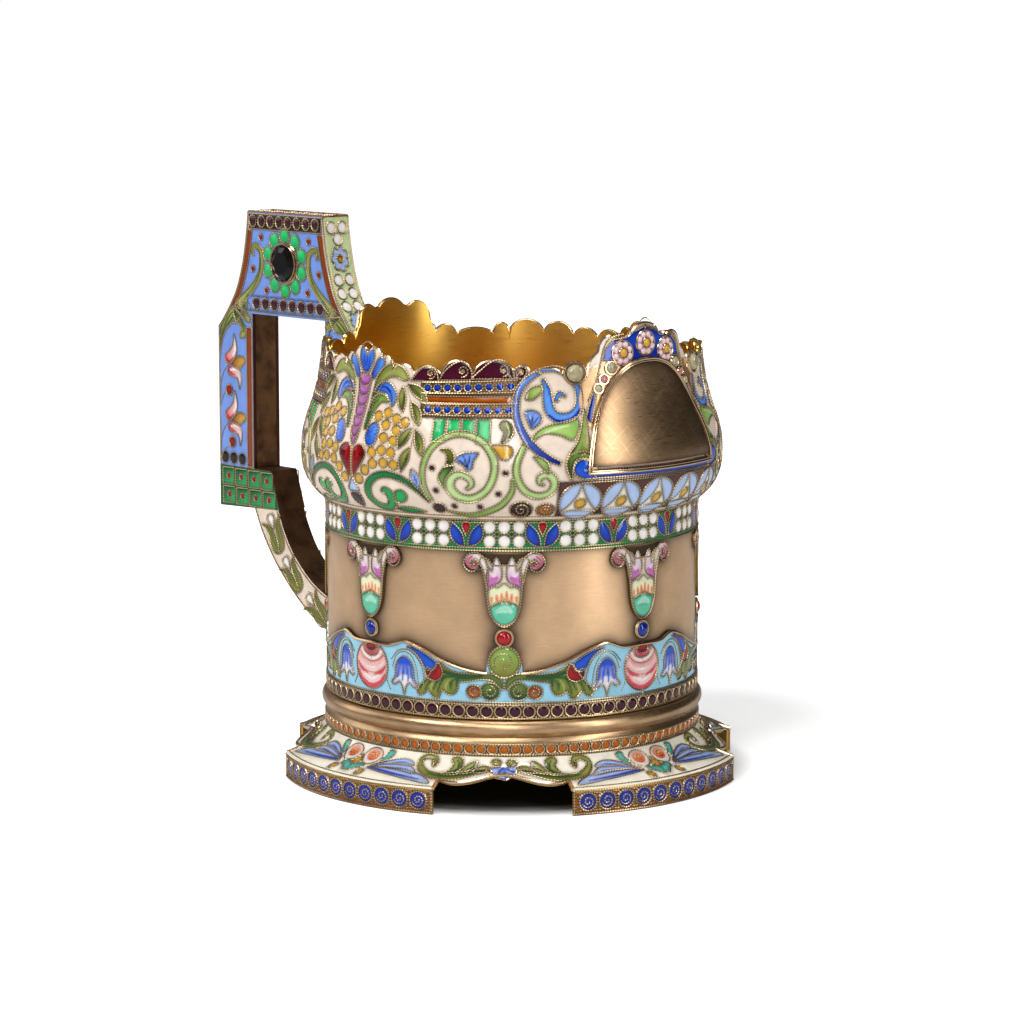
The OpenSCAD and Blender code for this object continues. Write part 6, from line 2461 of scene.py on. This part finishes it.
    def straps(self) -> None:
        """The dotted straps on the flares and on the post's outer edge, and the top's lozenges."""
        z = np.linspace(self.shoulder, self.top_z - 0.3, 60)
        sheets, wires = [], []
        far = np.concatenate([[52.6], z])
        for side, heights in ((-1, z), (1, far)):
            straight = (heights < self.shoulder) & (side > 0)
            r = np.where(straight, self.outer, self.flare(heights, side))
            canvas = self.strap(np.stack([r, heights], -1), -float(side), Tone.LEMON_GREEN)
            self.dotted(canvas.pen(), length_of(np.stack([r, heights], -1)))
            sheets.append(canvas.sheet())
            wires.append(canvas.wiring())
        low = np.linspace((36.7, 74.4), (43.5, self.shoulder), 20)
        canvas = self.strap(low, 1.0, Tone.LEMON_GREEN)
        sheets.append(canvas.sheet())
        wires.append(canvas.wiring())
        top = self.strap([(r, self.top_z) for r in np.linspace(53.95, 78.85, 60)], 1.0, Tone.ORANGE)
        pen = top.pen()
        for k in range(6):
            v = 2.1 + 4.14 * k
            pen.cell(poly((0, v - 1.9), (2.3, v), (0, v + 1.9), (-2.3, v)),
                     Paint(Tone.COBALT, Tone.BLUE, 0, 0.15), wire=0.16)
            for u in (-2.4, 2.4):
                pen.dot(u, v + 2.05, 0.5, Tone.GOLD_ENAMEL, wire=0.1)
        self.bench.place("handle_straps", Shape.joined(sheets), Finish.ENAMEL, "side_enamel")
        self.bench.place("handle_cap", top.sheet(), Finish.ENAMEL, "cap_enamel")
        wires.append(top.wiring())
        self.bench.place("strap_wires", Shape.joined(wires), Finish.WIRE, "silver_gilt")

    @staticmethod
    def dotted(pen: Pen, length: float) -> None:
        """White dots and small flowers down a strap, from its top.

        Args:
            pen: A pen on the strap.
            length: The strap's length.
        """
        top = length
        while top > 6:
            for u, v in ((-1.5, 2.2), (1.5, 2.2), (0, 4.6), (-1.5, 13.2), (1.5, 13.2), (-1.5, 16.2),
                         (1.5, 16.2), (-1.5, 19.2), (1.5, 19.2)):
                if top - v > 1.4:
                    pen.dot(u, top - v, 1.28, Paint(Tone.WHITE, None, 0, 0.12, 0.3), wire=0.19)
            for v in (8.7, 23.2):
                if top - v > 2.5:
                    a = np.linspace(0, 2 * np.pi, 57)[:-1]
                    r = 1.85 + 0.6 * np.abs(np.sin(3.5 * a)) ** 0.7
                    pen.cell(np.stack([r * np.cos(a), top - v + 1.12 * r * np.sin(a)], -1), Tone.PALE_BLUE,
                             wire=0.18)
                    for k in range(7):
                        a = 2 * math.pi * (k + 0.5) / 7
                        pen.stroke(((0.9 * math.cos(a), top - v + math.sin(a)),
                                    (1.7 * math.cos(a), top - v + 1.9 * math.sin(a))), 0.22, Tone.AZURE)
                    pen.dot(0, top - v, 0.85, Tone.GOLD_ENAMEL, Tone.OCHRE, 0.15)
            top -= 25.6

    def block_and_arm(self) -> None:
        """The chequered block and the tulip arm, on both flat sides."""
        blocks, arms, wires = [], [], []
        for y in (-self.half_t, self.half_t):
            canvas = Canvas(Side(y), Paint(Tone.EMERALD_DARK), 0.2, 0.04)
            canvas.patch(np.linspace((69.1, 44.3), (89.25, 43.6), 80),
                         np.linspace((71.9, 52.4), (89.25, 52.4), 80))
            pen = canvas.pen()
            for row, (low, high) in enumerate(((44.4, 47.9), (48.4, 52.0))):
                for k in range(4):
                    left = 70.3 + 0.9 * row + k * (4.55 - 0.2 * row)
                    wide = 4.15 - 0.2 * row
                    pen.cell(poly((left, low), (left + wide, low - 0.15), (left + wide, high - 0.1),
                                  (left, high)), Paint(Tone.EMERALD, Tone.EMERALD_DARK, 0, 0.1), wire=0.16)
                    pen.dot(left + wide / 2, (low + high) / 2, 0.72, Tone.RED_DARK, Tone.RED, 0.14)
            blocks.append(canvas.sheet())
            wires.append(canvas.wiring())
            arm = self.arm(Side(y))
            arms.append(arm.sheet())
            wires.append(arm.wiring())
        edge = self.strap(((self.outer, 43.6), (self.outer, 52.5)), -1.0, Tone.EMERALD)
        blocks.append(edge.sheet())
        wires.append(edge.wiring())
        self.bench.place("block_sides", Shape.joined(blocks), Finish.ENAMEL, "green_enamel")
        self.bench.place("arm_sides", Shape.joined(arms), Finish.ENAMEL, "arm_enamel")
        self.bench.place("block_wires", Shape.joined(wires), Finish.WIRE, "silver_gilt")

    def arm(self, face: Side) -> Canvas:
        """The arm's cream side, between its two curved edges, with three tulips nested in a row.

        Args:
            face: The side's face.

        Returns:
            The drawn canvas.
        """
        lows = ((0, 0), (0.075, 0.22), (0.2, 0.46), (0.39, 0.71), (0.57, 0.86), (0.78, 0.96), (1, 1))
        highs = ((0, 0), (0.05, 0.18), (0.15, 0.42), (0.32, 0.66), (0.48, 0.79), (0.73, 0.94), (1, 1))
        low = even(smooth([(77.6 - 41.2 * s, 44.3 - 27.49 * t) for s, t in lows], 6), 160)
        high = even(smooth([(69.4 - 33.0 * s, 44.3 - 20.79 * t) for s, t in highs], 6), 160)
        canvas = Canvas(face, Paint(Tone.CREAM), 0.2, 0.04, hidden=Tone.BRONZE)
        canvas.patch(low[:-4], high[:-4])
        for u, v, turn, size in ((68.8, 35.2, -23.3, 0.97), (62.2, 27.8, -38.0, 0.94),
                                 (53.4, 21.8, -50.0, 0.94), (43.8, 18.8, -64.0, 0.8)):
            p = Pen(canvas, u, v, False, turn, size)
            for side in (1, -1):
                p.cell(smooth([(0, 0), (side * 1.7, 0.6), (side * 2.35, 2.6), (side * 2.2, 5.2),
                               (side * 2.7, 6.9), (side * 3.5, 7.9), (side * 1.9, 7.2), (side * 0.7, 6.0),
                               (side * 0.25, 4.3), (side * 0.1, 2.2)][::side], 4, True), Tone.OLIVE,
                       Tone.OLIVE, 0.17)
                p.stroke(((side * 0.7, 1.0), (side * 1.2, 3.2), (side * 1.3, 5.4), (side * 2.2, 6.8)), 0.3,
                         Tone.OLIVE_DARK)
            p.cell(drop((0, 5.5), (0, 8.0), 1.05), Paint(Tone.WHITE, None, 0, 0.2), wire=0.16)
            for side in (1, -1):
                p.line(smooth(((side * 1.0, 6.6), (side * 1.6, 8.0), (side * 0.9, 9.3)), 4), 0.1)
        for line, d in ((low, 0.4), (high, -0.4)):
            canvas.pen().line(line[:-3] - sideways(line)[:-3] * d, 0.2)
        return canvas

    def stones(self) -> None:
        """The faceted dark stones in their bezels."""
        gems, bezels = [], []
        for y in (-self.half_t, self.half_t):
            face = Side(y)
            gems.append(dome(face, self.middle, self.stone_z, 4.0, 1.35, Tone.PLUM, 3, 12, -0.1,
                             STONE_FACETS))
            for r, lift, radius in ((4.3, 0.25, 0.3), (4.05, 0.7, 0.16)):
                bezels.append(wire_ring(face, self.middle, self.stone_z, r, lift, radius))
        self.bench.place("black_stones", Shape.joined(gems), Finish.BLACK_STONE, "black_stone",
                         "black_stone_front", "black_stone_back", sharp=12)
        self.bench.place("stone_bezels", Shape.joined(bezels), Finish.POLISHED, "silver_gilt",
                         "stone_bezel_front", "stone_bezel_back")


# Stage


@dataclass(frozen=True)
class Lamp:
    """A soft square light that faces the cup's middle."""

    name: str
    place: tuple[float, float, float]
    size: float
    power: float
    tall: float = 0.0
    glossy: bool = True
    matt: bool = True


@dataclass
class Stage:
    """The white studio: camera, lights, world and floor."""

    lamps: tuple[Lamp, ...] = (
        Lamp("key", (-0.08, -0.64, 0.60), 0.32, 3.2),
        Lamp("left", (-0.62, -0.30, 0.30), 0.4, 0.8),
        Lamp("right", (0.68, 0.02, 0.36), 0.3, 1.7, 0.3, False),
        Lamp("strip", (0.735, 0.143, 0.34), 0.17, 3.4, 0.9, True, False),
        Lamp("glint", (0.66, -0.61, 0.42), 0.06, 2.1, 0.7, True, False),
        Lamp("front", (0.32, -0.50, 0.42), 0.2, 0.7),
        Lamp("top", (0.05, -0.05, 0.7), 0.2, 1.9),
    )
    aim: tuple[float, float, float] = (0.0, 0.0, 0.055)
    camera_place: tuple[float, float, float] = (0.4918, -0.4549, 0.1503)
    camera_dip: float = 8.417
    camera_turn: float = 47.23
    lens: float = 119.95

    def build(self) -> None:
        """Sets the camera, the lights, the world and the floor."""
        self.camera()
        for lamp in self.lamps:
            self.light(lamp)
        self.world()
        self.floor()
        scene = bpy.context.scene
        scene.view_settings.view_transform = "Standard"
        scene.view_settings.look = "None"

    def camera(self) -> None:
        """The photograph's own view, from the matched camera."""
        data = bpy.data.cameras.new("camera")
        data.lens, data.sensor_width, data.clip_end = self.lens, 36.0, 10.0
        camera = bpy.data.objects.new("camera", data)
        camera.location = self.camera_place
        camera.rotation_euler = (math.radians(90 - self.camera_dip), 0.0, math.radians(self.camera_turn))
        bpy.context.collection.objects.link(camera)
        bpy.context.scene.camera = camera

    def light(self, lamp: Lamp) -> None:
        """An area light turned to the cup's middle.

        Args:
            lamp: The light.
        """
        data = bpy.data.lights.new(lamp.name, "AREA")
        data.shape, data.size, data.size_y = "RECTANGLE", lamp.size, lamp.tall or lamp.size
        data.energy = lamp.power
        piece = bpy.data.objects.new(lamp.name, data)
        d = np.array(self.aim) - np.array(lamp.place)
        piece.location = lamp.place
        piece.visible_glossy, piece.visible_diffuse = lamp.glossy, lamp.matt
        piece.rotation_euler = (math.acos(-d[2] / np.linalg.norm(d)), 0.0, math.atan2(-d[0], d[1]))
        bpy.context.collection.objects.link(piece)

    @staticmethod
    def world() -> None:
        """White for the camera; for everything else a soft tent, darker low down and at one side."""
        n = Nodes(bpy.data.worlds.new("tent"), "OutputWorld")
        bpy.context.scene.world = n.owner
        way = n.add("TexCoord").outputs["Generated"]
        height = n.add("SeparateXYZ", None, _0=way).outputs["Z"]
        dark_side = n.add("VectorMath", {"operation": "DOT_PRODUCT"}, _0=way,
                          _1=(0.45, 0.86, 0.22)).outputs["Value"]
        glow = n.math("MULTIPLY", n.ramp(height, -0.35, 0.8, (0.12, 0.26)),
                      n.ramp(dark_side, 0.35, 0.85, (1.0, 0.2)))
        tent = n.add("Background", None, Strength=glow).outputs[0]
        white = n.add("Background", None, Color=(1, 1, 1, 1)).outputs[0]
        camera = n.add("LightPath").outputs["Is Camera Ray"]
        n.end(n.add("MixShader", None, _0=camera, _1=tent, _2=white).outputs[0])

    @staticmethod
    def floor() -> None:
        """A wide white floor that keeps the holder's rendered shadow, with painted shadow too: its glow is
        dimmed in a patch behind the holder and gone under it, and its colour is near black under the base.
        """
        bpy.ops.mesh.primitive_plane_add(size=6.0)
        plane = bpy.context.active_object
        plane.name = "floor"
        n = Nodes(bpy.data.materials.new("floor"))
        ray = n.add("LightPath").outputs
        share = n.math("ADD", ray["Is Camera Ray"], n.math("MULTIPLY", ray["Is Glossy Ray"], 0.35))
        away = n.add("VectorMath", {"operation": "LENGTH"},
                     Vector=n.add("TexCoord").outputs["Object"]).outputs[1]
        # Painted shadow: the glow is dimmed round a point behind the holder, and is gone right under it.
        shade = n.add("VectorMath", {"operation": "DISTANCE"}, _0=n.add("TexCoord").outputs["Object"],
                      _1=(-0.01, 0.062, 0.0)).outputs[1]
        far = n.math("MULTIPLY", n.ramp(shade, 0.02, 0.075, (0.25, 1.0)), n.ramp(away, 0.04, 0.05))
        white = n.add("Emission", None, Color=(1, 1, 1, 1),
                      Strength=n.math("MULTIPLY", share, far)).outputs[0]
        # Painted shadow: the floor's own colour turns near black under the base.
        matt = n.add("BsdfDiffuse", None, Color=n.ramp(away, 0.036, 0.05, (0.04, 0.86))).outputs[0]
        both = n.add("AddShader", None, _0=white, _1=matt).outputs[0]
        dim = n.add("Emission", None, Color=(1, 1, 1, 1), Strength=0.1).outputs[0]
        seen = n.add("MixShader", None, _0=n.math("MULTIPLY", ray["Is Glossy Ray"], 0.45), _1=both,
                     _2=dim).outputs[0]
        n.end(seen)
        plane.data.materials.append(n.owner)
        plane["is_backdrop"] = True


def note_size(sizes: dict[str, list[list[float]]], when: str) -> None:
    """Keeps the shown object's bounds under a name.

    Args:
        sizes: All the bounds so far.
        when: The name to keep them under.
    """
    low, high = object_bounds()
    sizes[when] = [[float(x) for x in low], [float(x) for x in high]]


def main() -> None:
    """Loads the frame, dresses it part by part, and sets the stage."""
    logging.basicConfig(level=logging.INFO, format="%(message)s")
    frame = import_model()
    sizes: dict[str, list[list[float]]] = {}
    note_size(sizes, "frame")
    bench = Bench(frame["nodes"])
    for part in (Collar(bench), Plaque(bench), Sleeve(bench), Base(bench), Handle(bench)):
        LOG.info("building %s", type(part).__name__)
        part.build()
    bench.dress(Finish.BRIGHT, "glass_floor")
    Stage().build()
    note_size(sizes, "finished")


if __name__ == "__main__":
    main()
